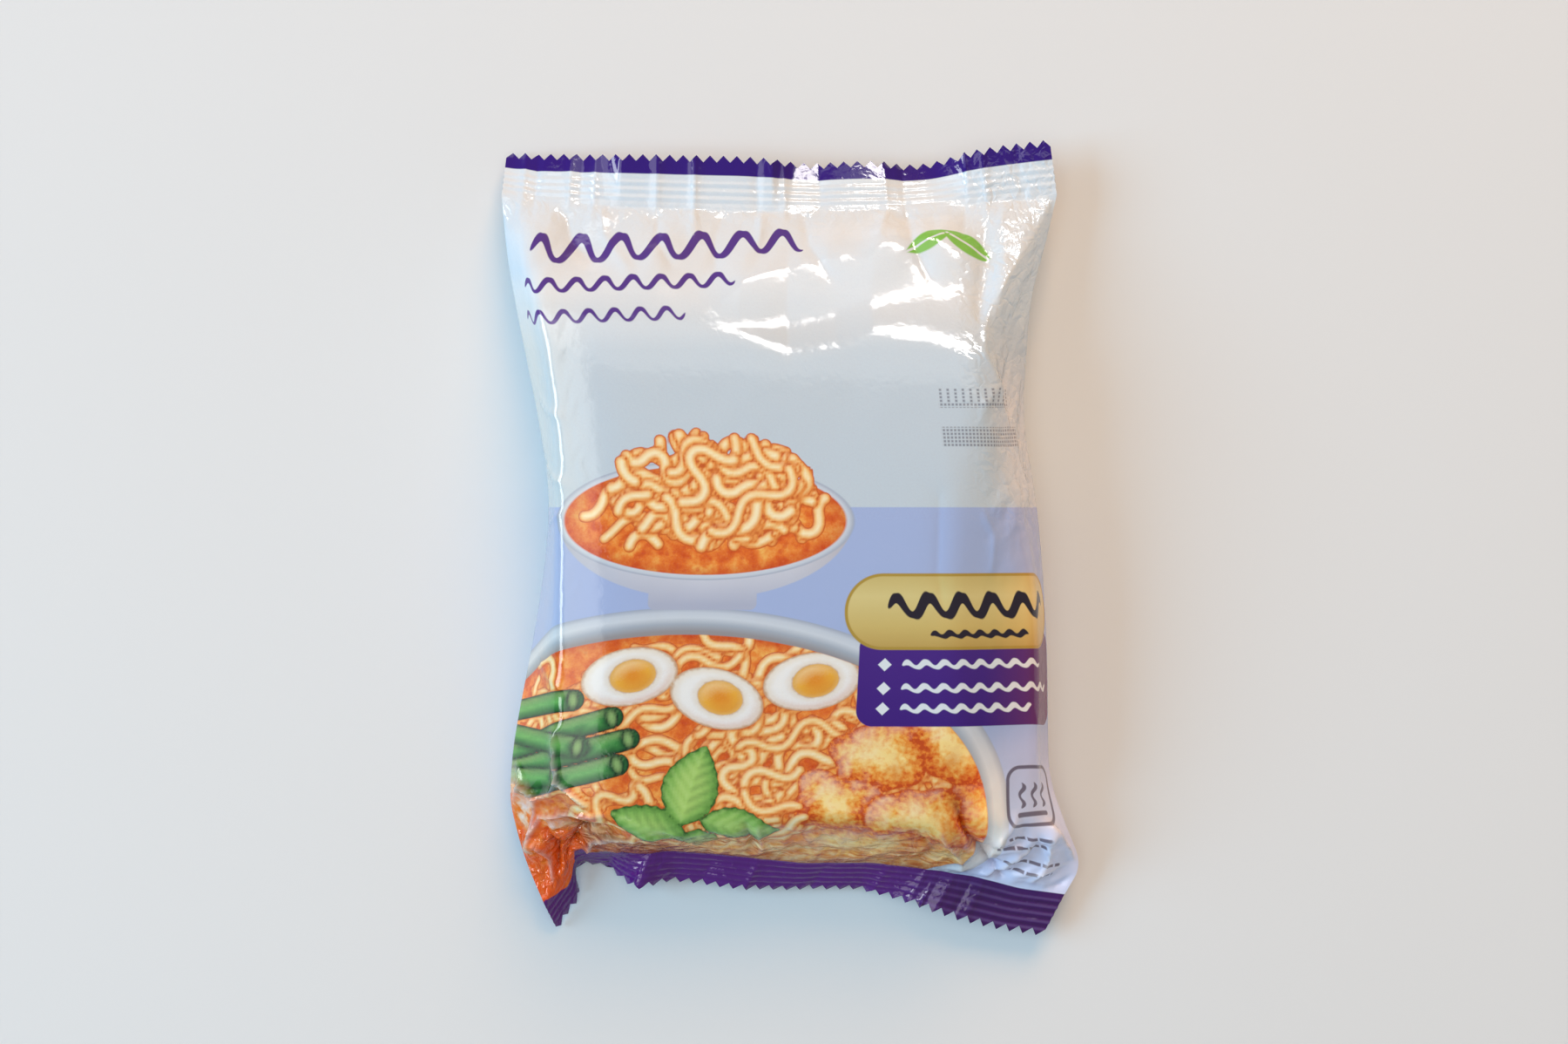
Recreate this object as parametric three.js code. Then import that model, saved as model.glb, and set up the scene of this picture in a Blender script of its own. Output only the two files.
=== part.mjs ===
// Instant noodle packet: a pillow of printed film round a block of noodles, with a crimped and
// saw-edged seal across each end. It lies on its back on Z = 0 with its front up, its length along Y
// and its opening seal at +Y. Sizes are in millimetres.
import * as THREE from 'three';

const point = (x, y, z) => new THREE.Vector3(x, y, z);
const line = (rows) => rows.map((row) => point(...row));

// Seals
const SEAL_THICKNESS = 0.8;
const TOP_SEAL_DEPTH = 12.5;
const BOTTOM_SEAL_DEPTH = 9.8;
const TOOTH_COUNT = 41;
const TOOTH_HEIGHT = 1.6;
const LOWEST_EDGE = 0.9;

// Film
const CREASE_RADIUS = 4;
const EDGE_RADIUS = 3;
const END_FOLD_RADIUS = 2;
const LEFT_SHOULDER_RADIUS = 10;
const RIGHT_SHOULDER_RADIUS = 5;
const FLAT_INSET = 9;

// Fold lines of the body, as [x, y, z], from its bottom end to its top end
const LEFT_EDGE = line([
  [-66.2, -54.3, 9], [-64.6, -44.2, 12], [-60.7, -25.6, 14], [-57.7, -7.8, 15], [-56.2, 10, 16],
  [-59.1, 27.6, 14], [-62.4, 43.4, 13], [-65.2, 56.8, 12], [-67.2, 68.2, 11],
]);
const LEFT_CREASE = line([
  [-53, -55, 25.5], [-53.9, -42.8, 27.3], [-53.9, -24.8, 29], [-53.8, -7.4, 29.8], [-53.6, 9.8, 29.8],
  [-54.4, 26.9, 29.5], [-56.7, 42.3, 28.2], [-59.7, 55.6, 25], [-62.4, 67.4, 18.5],
]);
const LEFT_SHOULDER = line([
  [-40, -55, 28], [-41, -42.8, 29.8], [-41, -24.8, 31.6], [-41, -7.4, 32.3], [-41, 9.8, 32.3],
  [-41.5, 26.9, 31.8], [-42.5, 42.3, 30], [-44, 55.6, 25.8], [-46, 67.4, 18.3],
]);
const RIGHT_SHOULDER = line([
  [40, -55.3, 28], [38.5, -43, 29.8], [37, -24.8, 31.6], [36.5, -7.5, 32.2], [38.5, 9.8, 31.8],
  [42.2, 27, 30.8], [40.5, 42.5, 28.8], [41, 55.8, 24.6], [44, 67.6, 17.6],
]);
const RIGHT_CREASE = line([
  [56.8, -55.3, 20.5], [56.9, -43, 22.5], [56.9, -24.8, 24], [55.9, -7.5, 24.5], [52, 9.8, 26.5],
  [46.9, 27, 28.6], [44.2, 42.5, 27.2], [47.3, 55.8, 23.5], [55, 67.6, 16.5],
]);
const RIGHT_EDGE = line([
  [60.9, -56.6, 11], [60.5, -44.1, 13], [60.2, -25.6, 14], [59.2, -7.8, 14], [57.6, 10, 14],
  [54.5, 27.7, 12], [55.6, 43.6, 11], [56.7, 57, 10.5], [60, 68.4, 10],
]);

// Lines across the bottom end, from left to right: the seal, the end wall and the ridge over it.
// The left end of the seal is folded round into an ear.
const BOTTOM_SEAL = line([
  [-58.6, -87.1, 6.5], [-55.5, -83.2, 6.5], [-53.4, -79.6, 6.5], [-52.5, -76.3, 7], [-50.8, -73.8, 8],
  [-42.9, -74.4, 8.5], [-35.6, -75, 8.5], [-28.8, -74.2, 8.5], [-12.7, -75.6, 8.5], [3, -77.3, 8.5],
  [19.1, -77.2, 8], [34.6, -79.1, 7.5], [44.2, -80.8, 7], [54.4, -83.7, 6], [65.1, -85.2, 5.5],
]);
const BOTTOM_SAW = line([
  [-55.8, -94.5, 0], [-53.5, -90.3, 0], [-50.5, -86.9, 0], [-50.7, -84, 0], [-52.2, -80.9, 0],
  [-50.1, -78.1, 0], [-45.1, -79.4, 0], [-37.1, -83.8, 0], [-28.8, -82.1, 0], [-14.5, -83.8, 0],
  [-0.5, -84.4, 0], [16.2, -84.2, 0], [29.8, -87.6, 0], [39.9, -91.1, 0], [49.7, -93.4, 0],
  [59.9, -94.9, 0],
]);
const END_WALL = line([
  [-63.6, -75.8, 5.5], [-57.7, -74.1, 9], [-53.7, -71.7, 12], [-51.7, -71.1, 13.5], [-49, -71.3, 15],
  [-34.2, -72.6, 16], [-10.5, -71.5, 16.5], [6.6, -71.6, 16], [27, -73.1, 15.5], [41, -75.2, 13.5],
  [51.9, -75.9, 11], [63.5, -77.2, 8], [69.3, -77.8, 6.5],
]);
const END_RIDGE = line([
  [-66.5, -63.1, 8], [-61.9, -64.3, 12], [-56.2, -64.6, 16], [-51.3, -63.9, 21], [-48.2, -66.2, 25],
  [-33.6, -68.3, 26], [-10.4, -66.8, 27], [6.4, -65.4, 27], [26.5, -66.6, 26.5], [40.2, -69.3, 24.5],
  [49.1, -67.8, 20], [60.5, -67.5, 13], [65.3, -68.4, 9],
]);

// Lines across the top end, from left to right
const TOP_SEAL = line([
  [-68.4, 81.3, 9], [-59, 79.2, 10.5], [-40, 77.8, 12], [-22.1, 77.1, 12.5], [-5.7, 76.7, 12.5],
  [10.7, 76.8, 12], [27.2, 77.2, 11.5], [40.2, 78.3, 11], [51.9, 79.6, 11], [62.8, 80.8, 11],
]);
const TOP_SAW = line([
  [-67.9, 92.1, 0], [-59.2, 91.1, 0], [-42.8, 90.4, 0], [-22.2, 90, 0], [-9.8, 89.8, 0], [3, 88.5, 0],
  [19, 89.2, 0], [30.2, 88.5, 0], [39.8, 90.8, 0], [49.9, 92.7, 0], [61.1, 93.9, 0],
]);

// Where the back leaves the ground under the end wall
const BACK_WALL = line([
  [-63.6, -75.8, 5.5], [-55, -73, 3], [0, -71.5, 3.5], [50, -74, 3], [69.3, -77.8, 6.5],
]);
const BACK_TOP_LIFT = 2.5;

// Dents and puckers of the front, as [x, y, length, width, angle in degrees, height]
const PUCKERS = [
  [-46, 71, 11, 7, 35, -2.6],
  [-30, 69, 9, 5, 80, 1.6],
  [-5, 70, 12, 6, 95, -1.4],
  [14, 69, 12, 5, 80, 1.4],
  [33, 70, 10, 6, 110, -1.8],
  [45, -74, 9, 4, 65, -3.5],
  [62, -71, 8, 3, -45, 1.6],
];

// Mesh
const ROWS_PER_SPAN = [3, 3, 3, 3, 4, 4, 4, 4, 4, 4, 4, 4];
const SEAL_ROWS = 2;
const CORNER_STEPS = 8;

// A polyline with each inner corner rounded, as many close points. The radius is a length, or a
// function that gives the length at each corner.
function roundCorners(corners, radius) {
  const points = [corners[0]];
  for (let i = 1; i < corners.length - 1; i += 1) {
    const before = corners[i - 1].clone().sub(corners[i]);
    const after = corners[i + 1].clone().sub(corners[i]);
    const reach = typeof radius === 'function' ? radius(i) : radius;
    const start = corners[i].clone().addScaledVector(before, Math.min(0.5, reach / before.length()));
    const end = corners[i].clone().addScaledVector(after, Math.min(0.5, reach / after.length()));
    const bend = new THREE.QuadraticBezierCurve3(start, corners[i], end);
    points.push(...bend.getPoints(CORNER_STEPS));
  }
  points.push(corners[corners.length - 1]);
  return points;
}

// The same polyline as equal steps along its length
function evenSteps(points, steps) {
  const reach = [0];
  for (let i = 1; i < points.length; i += 1) {
    reach.push(reach[i - 1] + points[i].distanceTo(points[i - 1]));
  }
  const total = reach[reach.length - 1];
  const result = [];
  let span = 1;
  for (let step = 0; step <= steps; step += 1) {
    const target = total * step / steps;
    while (span < points.length - 1 && reach[span] < target) {
      span += 1;
    }
    const share = (target - reach[span - 1]) / Math.max(reach[span] - reach[span - 1], 1e-9);
    result.push(points[span - 1].clone().lerp(points[span], Math.min(share, 1)));
  }
  return result;
}

const across = (corners, radius) => evenSteps(roundCorners(corners, radius), TOOTH_COUNT);

// The front of the body at one station: left wall, sloping shoulder, flat panel, sloping shoulder, right wall
function frontSection(station) {
  const corners = [
    LEFT_EDGE[station], LEFT_CREASE[station], LEFT_SHOULDER[station],
    RIGHT_SHOULDER[station], RIGHT_CREASE[station], RIGHT_EDGE[station],
  ];
  const radii = [0, CREASE_RADIUS, LEFT_SHOULDER_RADIUS, RIGHT_SHOULDER_RADIUS, CREASE_RADIUS, 0];
  return across(corners, (i) => radii[i]);
}

// The back of the body at one station, flat on the ground between its two edges
function backSection(left, right, lift) {
  const leftFoot = point(left.x + FLAT_INSET, left.y, lift);
  const rightFoot = point(right.x - FLAT_INSET, right.y, lift);
  return across([left, leftFoot, rightFoot, right], FLAT_INSET);
}

const last = LEFT_EDGE.length - 1;
const bodyFront = LEFT_EDGE.map((edge, station) => frontSection(station));
const bodyBack = LEFT_EDGE.map((edge, station) => {
  const lift = station === last ? BACK_TOP_LIFT : 0;
  return backSection(edge, RIGHT_EDGE[station], lift);
});

const bottomSeal = across(BOTTOM_SEAL, END_FOLD_RADIUS);
const topSeal = across(TOP_SEAL, CREASE_RADIUS);

const frontStations = [
  bottomSeal,
  across(END_WALL, END_FOLD_RADIUS),
  across(END_RIDGE, EDGE_RADIUS),
  ...bodyFront,
  topSeal,
];
const backStations = [
  bottomSeal,
  across(BACK_WALL, EDGE_RADIUS),
  backSection(END_RIDGE[0], END_RIDGE[END_RIDGE.length - 1], 0),
  ...bodyBack,
  topSeal,
];

// How softly the film turns at each station, from 0 for a sharp fold to 1 for a wide curve
const TURN = [1, 0.9, 0.6, 1, 1, 1, 1, 1, 1, 1, 1, 1, 1];

// A point of one column between its stations
function alongColumn(stations, column, place) {
  const nearest = Math.min(Math.max(Math.round(place), 0), stations.length - 1);
  const here = stations[nearest][column];
  const offset = place - nearest;
  const neighbour = stations[Math.min(Math.max(nearest + Math.sign(offset), 0), stations.length - 1)][column];
  const half = TURN[nearest] / 2;
  const inside = nearest > 0 && nearest < stations.length - 1;
  if (!inside || Math.abs(offset) >= half) {
    return here.clone().lerp(neighbour, Math.abs(offset));
  }
  const start = here.clone().lerp(stations[nearest - 1][column], half);
  const end = here.clone().lerp(stations[nearest + 1][column], half);
  const share = (offset + half) / (2 * half);
  return new THREE.QuadraticBezierCurve3(start, here, end).getPoint(share);
}

// Height that the puckers add at one place of the front
function pucker(x, y) {
  let height = 0;
  for (const [centreX, centreY, length, width, angle, rise] of PUCKERS) {
    const turn = THREE.MathUtils.degToRad(angle);
    const along = (x - centreX) * Math.cos(turn) + (y - centreY) * Math.sin(turn);
    const aside = (y - centreY) * Math.cos(turn) - (x - centreX) * Math.sin(turn);
    height += rise * Math.exp(-((along / length) ** 2) - ((aside / width) ** 2));
  }
  return height;
}

const positions = [];
const triangles = [];

function addVertex(vertex) {
  positions.push(vertex.x, vertex.y, vertex.z);
  return positions.length / 3 - 1;
}

// One closed ring round the packet: the front from left to right, then the back from right to left
function addRing(front, back) {
  const raise = point(0, 0, SEAL_THICKNESS / 2);
  const above = front.map((vertex) => addVertex(vertex.clone().add(raise)));
  const below = back.map((vertex) => addVertex(vertex.clone().sub(raise)));
  return { above, below, loop: [...above, ...below.slice().reverse()] };
}

function addQuad(a, b, c, d) {
  triangles.push(a, b, c, a, c, d);
}

function joinRings(lower, upper) {
  const count = lower.loop.length;
  for (let i = 0; i < count; i += 1) {
    const next = (i + 1) % count;
    addQuad(lower.loop[i], lower.loop[next], upper.loop[next], upper.loop[i]);
  }
}

// Rings of the body, from the bottom seal to the top seal
const bodyRings = [];
ROWS_PER_SPAN.forEach((rows, span) => {
  const firstRow = span === 0 ? 0 : 1;
  for (let row = firstRow; row <= rows; row += 1) {
    const place = span + row / rows;
    const fade = Math.min(place, ROWS_PER_SPAN.length - place, 1);
    const front = [];
    const back = [];
    for (let column = 0; column <= TOOTH_COUNT; column += 1) {
      const top = alongColumn(frontStations, column, place);
      const side = Math.min(column, TOOTH_COUNT - column) / 2;
      top.z += pucker(top.x, top.y) * fade * Math.min(side, 1);
      front.push(top);
      back.push(alongColumn(backStations, column, place));
    }
    bodyRings.push(addRing(front, back));
  }
});
for (let i = 1; i < bodyRings.length; i += 1) {
  joinRings(bodyRings[i - 1], bodyRings[i]);
}

// The saw edge hangs below the seal line by what the seal's depth leaves over from its plan length
function hang(inner, outer, depth) {
  const reach = Math.hypot(outer.x - inner.x, outer.y - inner.y);
  const drop = Math.sqrt(Math.max(depth ** 2 - reach ** 2, 0));
  return point(outer.x, outer.y, Math.max(inner.z - drop, LOWEST_EDGE));
}

// A seal: plain rings out from the seal line, then the teeth and the cut edge between both faces
function addSeal(sealLine, sawLine, depth, sealRing, outward) {
  const saw = across(sawLine, END_FOLD_RADIUS).map((vertex, i) => hang(sealLine[i], vertex, depth));
  const root = 1 - TOOTH_HEIGHT / depth;
  let previous = sealRing;
  for (let row = 1; row <= SEAL_ROWS; row += 1) {
    const share = root * row / (SEAL_ROWS + 1);
    const flat = sealLine.map((vertex, i) => vertex.clone().lerp(saw[i], share));
    const ring = addRing(flat, flat);
    if (outward > 0) {
      joinRings(previous, ring);
    } else {
      joinRings(ring, previous);
    }
    previous = ring;
  }
  const teeth = [];
  for (let step = 0; step <= 2 * TOOTH_COUNT; step += 1) {
    const left = Math.floor(step / 2);
    const right = Math.ceil(step / 2);
    const inner = sealLine[left].clone().lerp(sealLine[right], 0.5);
    const outer = saw[left].clone().lerp(saw[right], 0.5);
    teeth.push(inner.lerp(outer, step % 2 === 0 ? root : 1));
  }
  const edge = addRing(teeth, teeth);
  closeTeeth(previous, edge, outward);
}

function addTriangle(a, b, c, outward) {
  if (outward > 0) {
    triangles.push(a, b, c);
  } else {
    triangles.push(a, c, b);
  }
}

// Three triangles to a tooth on each face, the two ends of the seal, and the cut edge
function closeTeeth(plain, edge, outward) {
  for (let tooth = 0; tooth < TOOTH_COUNT; tooth += 1) {
    const valley = 2 * tooth;
    for (const [face, side] of [['above', outward], ['below', -outward]]) {
      const inner = plain[face];
      const outer = edge[face];
      addTriangle(inner[tooth], outer[valley + 1], outer[valley], side);
      addTriangle(inner[tooth], inner[tooth + 1], outer[valley + 1], side);
      addTriangle(inner[tooth + 1], outer[valley + 2], outer[valley + 1], side);
    }
  }
  const end = 2 * TOOTH_COUNT;
  for (let step = 0; step < end; step += 1) {
    addTriangle(edge.above[step], edge.above[step + 1], edge.below[step + 1], outward);
    addTriangle(edge.above[step], edge.below[step + 1], edge.below[step], outward);
  }
  const ends = [[0, 0, -outward], [TOOTH_COUNT, end, outward]];
  for (const [column, step, side] of ends) {
    addTriangle(plain.above[column], plain.below[column], edge.below[step], side);
    addTriangle(plain.above[column], edge.below[step], edge.above[step], side);
  }
}

addSeal(bottomSeal, BOTTOM_SAW, BOTTOM_SEAL_DEPTH, bodyRings[0], -1);
addSeal(topSeal, TOP_SAW, TOP_SEAL_DEPTH, bodyRings[bodyRings.length - 1], 1);

// The lowest part of the back lies on the ground
for (let i = 2; i < positions.length; i += 3) {
  positions[i] += SEAL_THICKNESS / 2;
}

const film = new THREE.BufferGeometry();
film.setAttribute('position', new THREE.Float32BufferAttribute(positions, 3));
film.setIndex(triangles);
film.computeVertexNormals();

const printedFilm = new THREE.MeshStandardMaterial({ color: 0xb4bed6, roughness: 0.25, metalness: 0 });
const packet = new THREE.Mesh(film, printedFilm);
packet.name = 'packet';

const noodlePacket = new THREE.Group();
noodlePacket.add(packet);

export default noodlePacket;
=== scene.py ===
"""Instant noodle packet: the printed film pouch in full detail, and the pale surface that it lies on."""
import math
from functools import partialmethod

import bpy
import numpy as np
from bpy.props import FloatProperty, FloatVectorProperty, IntProperty, PointerProperty
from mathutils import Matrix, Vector


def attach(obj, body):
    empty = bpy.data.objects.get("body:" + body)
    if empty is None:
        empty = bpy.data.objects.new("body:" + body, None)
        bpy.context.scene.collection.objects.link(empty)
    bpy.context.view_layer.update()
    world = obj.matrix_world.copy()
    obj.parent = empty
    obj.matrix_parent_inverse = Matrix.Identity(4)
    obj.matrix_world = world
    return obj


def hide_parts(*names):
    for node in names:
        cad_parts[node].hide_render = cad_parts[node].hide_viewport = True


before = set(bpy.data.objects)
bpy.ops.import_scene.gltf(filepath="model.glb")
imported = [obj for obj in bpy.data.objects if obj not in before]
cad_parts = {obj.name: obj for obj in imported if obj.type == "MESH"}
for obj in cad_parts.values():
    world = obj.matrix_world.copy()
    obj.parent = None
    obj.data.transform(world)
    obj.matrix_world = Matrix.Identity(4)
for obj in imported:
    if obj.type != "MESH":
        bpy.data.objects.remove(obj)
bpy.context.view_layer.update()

bl_info = {
    "name": "Noodle packet",
    "version": (1, 0, 0),
    "blender": (4, 5, 0),
    "location": "View3D > Sidebar > Packet",
    "description": "Makes a filled packet of noodles from film with crimped, saw-edged seals",
    "category": "Add Mesh",
}

MM = 0.001
PACKET_NODE = "packet"
BODY = "root"

# Shape of the pouch: the body's lines at nine stations from the lower to the upper end, and its seals,
# wall and ridge from left to right, all as (x, y, height) in millimetres

LEFT_EDGE = [
    (-66.2, -54.3, 9), (-64.6, -44.2, 12), (-60.7, -25.6, 14), (-57.7, -7.8, 15), (-56.2, 10, 16),
    (-59.1, 27.6, 14), (-62.4, 43.4, 13), (-65.2, 56.8, 12), (-67.2, 68.2, 11),
]
LEFT_CREASE = [
    (-53, -55, 25.5), (-53.9, -42.8, 27.3), (-53.9, -24.8, 29), (-53.8, -7.4, 29.8), (-53.6, 9.8, 29.8),
    (-54.4, 26.9, 29.5), (-56.7, 42.3, 28.2), (-59.7, 55.6, 25), (-62.4, 67.4, 18.5),
]
LEFT_SHOULDER = [
    (-40, -55, 28), (-41, -42.8, 29.8), (-41, -24.8, 31.6), (-41, -7.4, 32.3), (-41, 9.8, 32.3),
    (-41.5, 26.9, 31.8), (-42.5, 42.3, 30), (-44, 55.6, 25.8), (-46, 67.4, 18.3),
]
RIGHT_SHOULDER = [
    (40, -55.3, 28), (38.5, -43, 29.8), (37, -24.8, 31.6), (36.5, -7.5, 32.2), (38.5, 9.8, 31.8),
    (42.2, 27, 30.8), (40.5, 42.5, 28.8), (41, 55.8, 24.6), (44, 67.6, 17.6),
]
RIGHT_CREASE = [
    (56.8, -55.3, 20.5), (56.9, -43, 22.5), (56.9, -24.8, 24), (55.9, -7.5, 24.5), (52, 9.8, 26.5),
    (46.9, 27, 28.6), (44.2, 42.5, 27.2), (47.3, 55.8, 23.5), (55, 67.6, 16.5),
]
RIGHT_EDGE = [
    (60.9, -56.6, 11), (60.5, -44.1, 13), (60.2, -25.6, 14), (59.2, -7.8, 14), (57.6, 10, 14),
    (54.5, 27.7, 12), (55.6, 43.6, 11), (56.7, 57, 10.5), (60, 68.4, 10),
]
BOTTOM_SEAL = [
    (-58.6, -87.1, 6.5), (-55.5, -83.2, 6.5), (-53.4, -79.6, 6.5), (-52.5, -76.3, 7), (-50.8, -73.8, 8),
    (-42.9, -74.4, 8.5), (-35.6, -75, 8.5), (-28.8, -74.2, 8.5), (-12.7, -75.6, 8.5), (3, -77.3, 8.5),
    (19.1, -77.2, 8), (34.6, -79.1, 7.5), (44.2, -80.8, 7), (54.4, -83.7, 6), (65.1, -85.2, 5.5),
]
BOTTOM_SAW = [
    (-55.8, -94.5, 0), (-53.5, -90.3, 0), (-50.5, -86.9, 0), (-50.7, -84, 0), (-52.2, -80.9, 0),
    (-50.1, -78.1, 0), (-45.1, -79.4, 0), (-37.1, -83.8, 0), (-28.8, -82.1, 0), (-14.5, -83.8, 0),
    (-0.5, -84.4, 0), (16.2, -84.2, 0), (29.8, -87.6, 0), (39.9, -91.1, 0), (49.7, -93.4, 0),
    (59.9, -94.9, 0),
]
END_WALL = [
    (-63.6, -75.8, 5.5), (-57.7, -74.1, 9), (-53.7, -71.7, 12), (-51.7, -71.1, 13.5), (-49, -71.3, 15),
    (-34.2, -72.6, 16), (-10.5, -71.5, 16.5), (6.6, -71.6, 16), (27, -73.1, 15.5), (41, -75.2, 13.5),
    (51.9, -75.9, 11), (63.5, -77.2, 8), (69.3, -77.8, 6.5),
]
END_RIDGE = [
    (-66.5, -63.1, 8), (-61.9, -64.3, 12), (-56.2, -64.6, 16), (-51.3, -63.9, 21), (-48.2, -66.2, 25),
    (-33.6, -68.3, 26), (-10.4, -66.8, 27), (6.4, -65.4, 27), (26.5, -66.6, 26.5), (40.2, -69.3, 24.5),
    (49.1, -67.8, 20), (60.5, -67.5, 13), (65.3, -68.4, 9),
]
TOP_SEAL = [
    (-68.4, 81.3, 9), (-59, 79.2, 10.5), (-40, 77.8, 12), (-22.1, 77.1, 12.5), (-5.7, 76.7, 12.5),
    (10.7, 76.8, 12), (27.2, 77.2, 11.5), (40.2, 78.3, 11), (51.9, 79.6, 11), (62.8, 80.8, 11),
]
TOP_SAW = [
    (-67.9, 92.1, 0), (-59.2, 91.1, 0), (-42.8, 90.4, 0), (-22.2, 90, 0), (-9.8, 89.8, 0), (3, 88.5, 0),
    (19, 89.2, 0), (30.2, 88.5, 0), (39.8, 90.8, 0), (49.9, 92.7, 0), (61.1, 93.9, 0),
]
BACK_WALL = [(-63.6, -75.8, 5.5), (-55, -73, 3), (0, -71.5, 3.5), (50, -74, 3), (69.3, -77.8, 6.5)]
BACK_TOP_LIFT = 2.5
FLAT_WIDTH = 133.5
PICTURE_TOP = 116
LOWEST_EDGE = 0.5
LOWEST_BACK = 0.4
CREASE_RADIUS = 2.6
EDGE_RADIUS = 2.4
END_FOLD_RADIUS = 2
SECTION_RADII = [0, CREASE_RADIUS, 10, 3.5, CREASE_RADIUS, 0]
FLAT_INSET = 9
# Share of the way between stations over which the film is rounded at each of them
STATION_ROUNDING = (1, 0.9, 0.6, *[1] * 10)
SPANS = len(STATION_ROUNDING) - 1
# Soft puckers as (x, y, length, width, angle, rise)
PUCKERS = [
    (-46, 71, 11, 7, 35, -2.6),
    (-30, 69, 9, 5, 80, 1.6),
    (-5, 70, 12, 6, 95, -1.4),
    (14, 69, 12, 5, 80, 1.4),
    (33, 70, 10, 6, 110, -1.8),
    (45, -74, 9, 4, 65, -3.5),
    (62, -71, 8, 3, -45, 1.6),
]

# Density of the mesh
FRONT_PER_TOOTH = 6
BACK_PER_TOOTH = 2
CORNER_STEPS = 12
LENGTH_SAMPLES = 1201
SAMPLE_COLUMNS = 60

# Seals
RIB_PITCH = 1.75
TOP_RIBS = (0.8, 7.4)
BOTTOM_RIBS_START = 0.6
BOTTOM_RIBS_MARGIN = 1.8
TOOTH_ROOT_GAP = 0.25
FIN_GAP = 0.04
FIN_ROWS = slice(4, -4, 2)
SHARP_ON_FILM = math.radians(62)
SHARP_ON_FIN = math.radians(50)

# The bake's map, in millimetres of flat film
MAP_WIDTH = FLAT_WIDTH * 2.1
MAP_HEIGHT = 200
MAP_FRONT = FLAT_WIDTH * 0.52
MAP_BACK = FLAT_WIDTH * 1.55
MAP_FOOT = 12
FIN_MAP_WIDTH = 40


def round_corners(corners, reaches):
    """A polyline with each inner corner rounded by a curve that starts and ends a reach away from it."""
    parts = [corners[:1]]
    share = np.linspace(0, 1, CORNER_STEPS)[:, None]
    for i in range(1, len(corners) - 1):
        before, after = corners[i - 1] - corners[i], corners[i + 1] - corners[i]
        start = corners[i] + before * min(0.5, reaches[i] / np.linalg.norm(before))
        end = corners[i] + after * min(0.5, reaches[i] / np.linalg.norm(after))
        parts.append((1 - share) ** 2 * start + 2 * share * (1 - share) * corners[i] + share**2 * end)
    parts.append(corners[-1:])
    return np.concatenate(parts)


def even_steps(points, steps):
    """The same polyline as equal steps along its length."""
    reach = np.concatenate([[0], np.cumsum(np.linalg.norm(np.diff(points, axis=0), axis=1))])
    targets = np.linspace(0, reach[-1], steps + 1)
    return np.stack([np.interp(targets, reach, points[:, axis]) for axis in range(3)], axis=1)


def across(corners, reach, steps):
    """Even steps along a rounded polyline, with one reach for all of its corners or one for each."""
    reaches = reach if isinstance(reach, list) else [reach] * len(corners)
    return even_steps(round_corners(np.array(corners, dtype=float), reaches), steps)


def front_section(station, steps):
    """One station of the body's front: left wall, left slope, panel, right slope and right wall."""
    lines = (LEFT_EDGE, LEFT_CREASE, LEFT_SHOULDER, RIGHT_SHOULDER, RIGHT_CREASE, RIGHT_EDGE)
    return across([line[station] for line in lines], SECTION_RADII, steps)


def back_section(left, right, lift, steps):
    """One station of the body's back, flat on the ground between its two edges."""
    feet = [(left[0] + FLAT_INSET, left[1], lift), (right[0] - FLAT_INSET, right[1], lift)]
    return across([left, *feet, right], FLAT_INSET, steps)


def between_seals(sections, steps):
    """Stations of one side of the film, with the two seal lines before and after them."""
    bottom, top = across(BOTTOM_SEAL, END_FOLD_RADIUS, steps), across(TOP_SEAL, CREASE_RADIUS, steps)
    return np.array([bottom, *sections, top])


def front_stations(steps):
    ends = [across(END_WALL, END_FOLD_RADIUS, steps), across(END_RIDGE, EDGE_RADIUS, steps)]
    body = [front_section(station, steps) for station in range(len(LEFT_EDGE))]
    return between_seals(ends + body, steps)


def back_stations(steps):
    ends = [across(BACK_WALL, EDGE_RADIUS, steps), back_section(END_RIDGE[0], END_RIDGE[-1], 0, steps)]
    lifts = [0] * (len(LEFT_EDGE) - 1) + [BACK_TOP_LIFT]
    body = [back_section(*edges, steps) for edges in zip(LEFT_EDGE, RIGHT_EDGE, lifts)]
    return between_seals(ends + body, steps)


def along_columns(stations, places):
    """Every column's points at the given places between the stations."""
    nearest = np.clip(np.round(places).astype(int), 0, SPANS)
    offset = places - nearest
    beside = np.clip(nearest + np.sign(offset).astype(int), 0, SPANS)
    half = np.array(STATION_ROUNDING)[nearest] / 2
    here = stations[nearest]
    straight = here + (stations[beside] - here) * np.abs(offset)[:, None, None]
    start = here + (stations[np.clip(nearest - 1, 0, SPANS)] - here) * half[:, None, None]
    end = here + (stations[np.clip(nearest + 1, 0, SPANS)] - here) * half[:, None, None]
    share = np.clip((offset + half) / (2 * half), 0, 1)[:, None, None]
    bent = (1 - share) ** 2 * start + 2 * share * (1 - share) * here + share**2 * end
    inside = (nearest > 0) & (nearest < SPANS) & (np.abs(offset) < half)
    return np.where(inside[:, None, None], bent, straight)


def pucker_height(x, y):
    """Height of the soft puckers at places on the ground."""
    height = np.zeros_like(x)
    for centre_x, centre_y, length, width, angle, rise in PUCKERS:
        turn = math.radians(angle)
        along = (x - centre_x) * math.cos(turn) + (y - centre_y) * math.sin(turn)
        aside = (y - centre_y) * math.cos(turn) - (x - centre_x) * math.sin(turn)
        height += rise * np.exp(-((along / length) ** 2) - (aside / width) ** 2)
    return height


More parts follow.
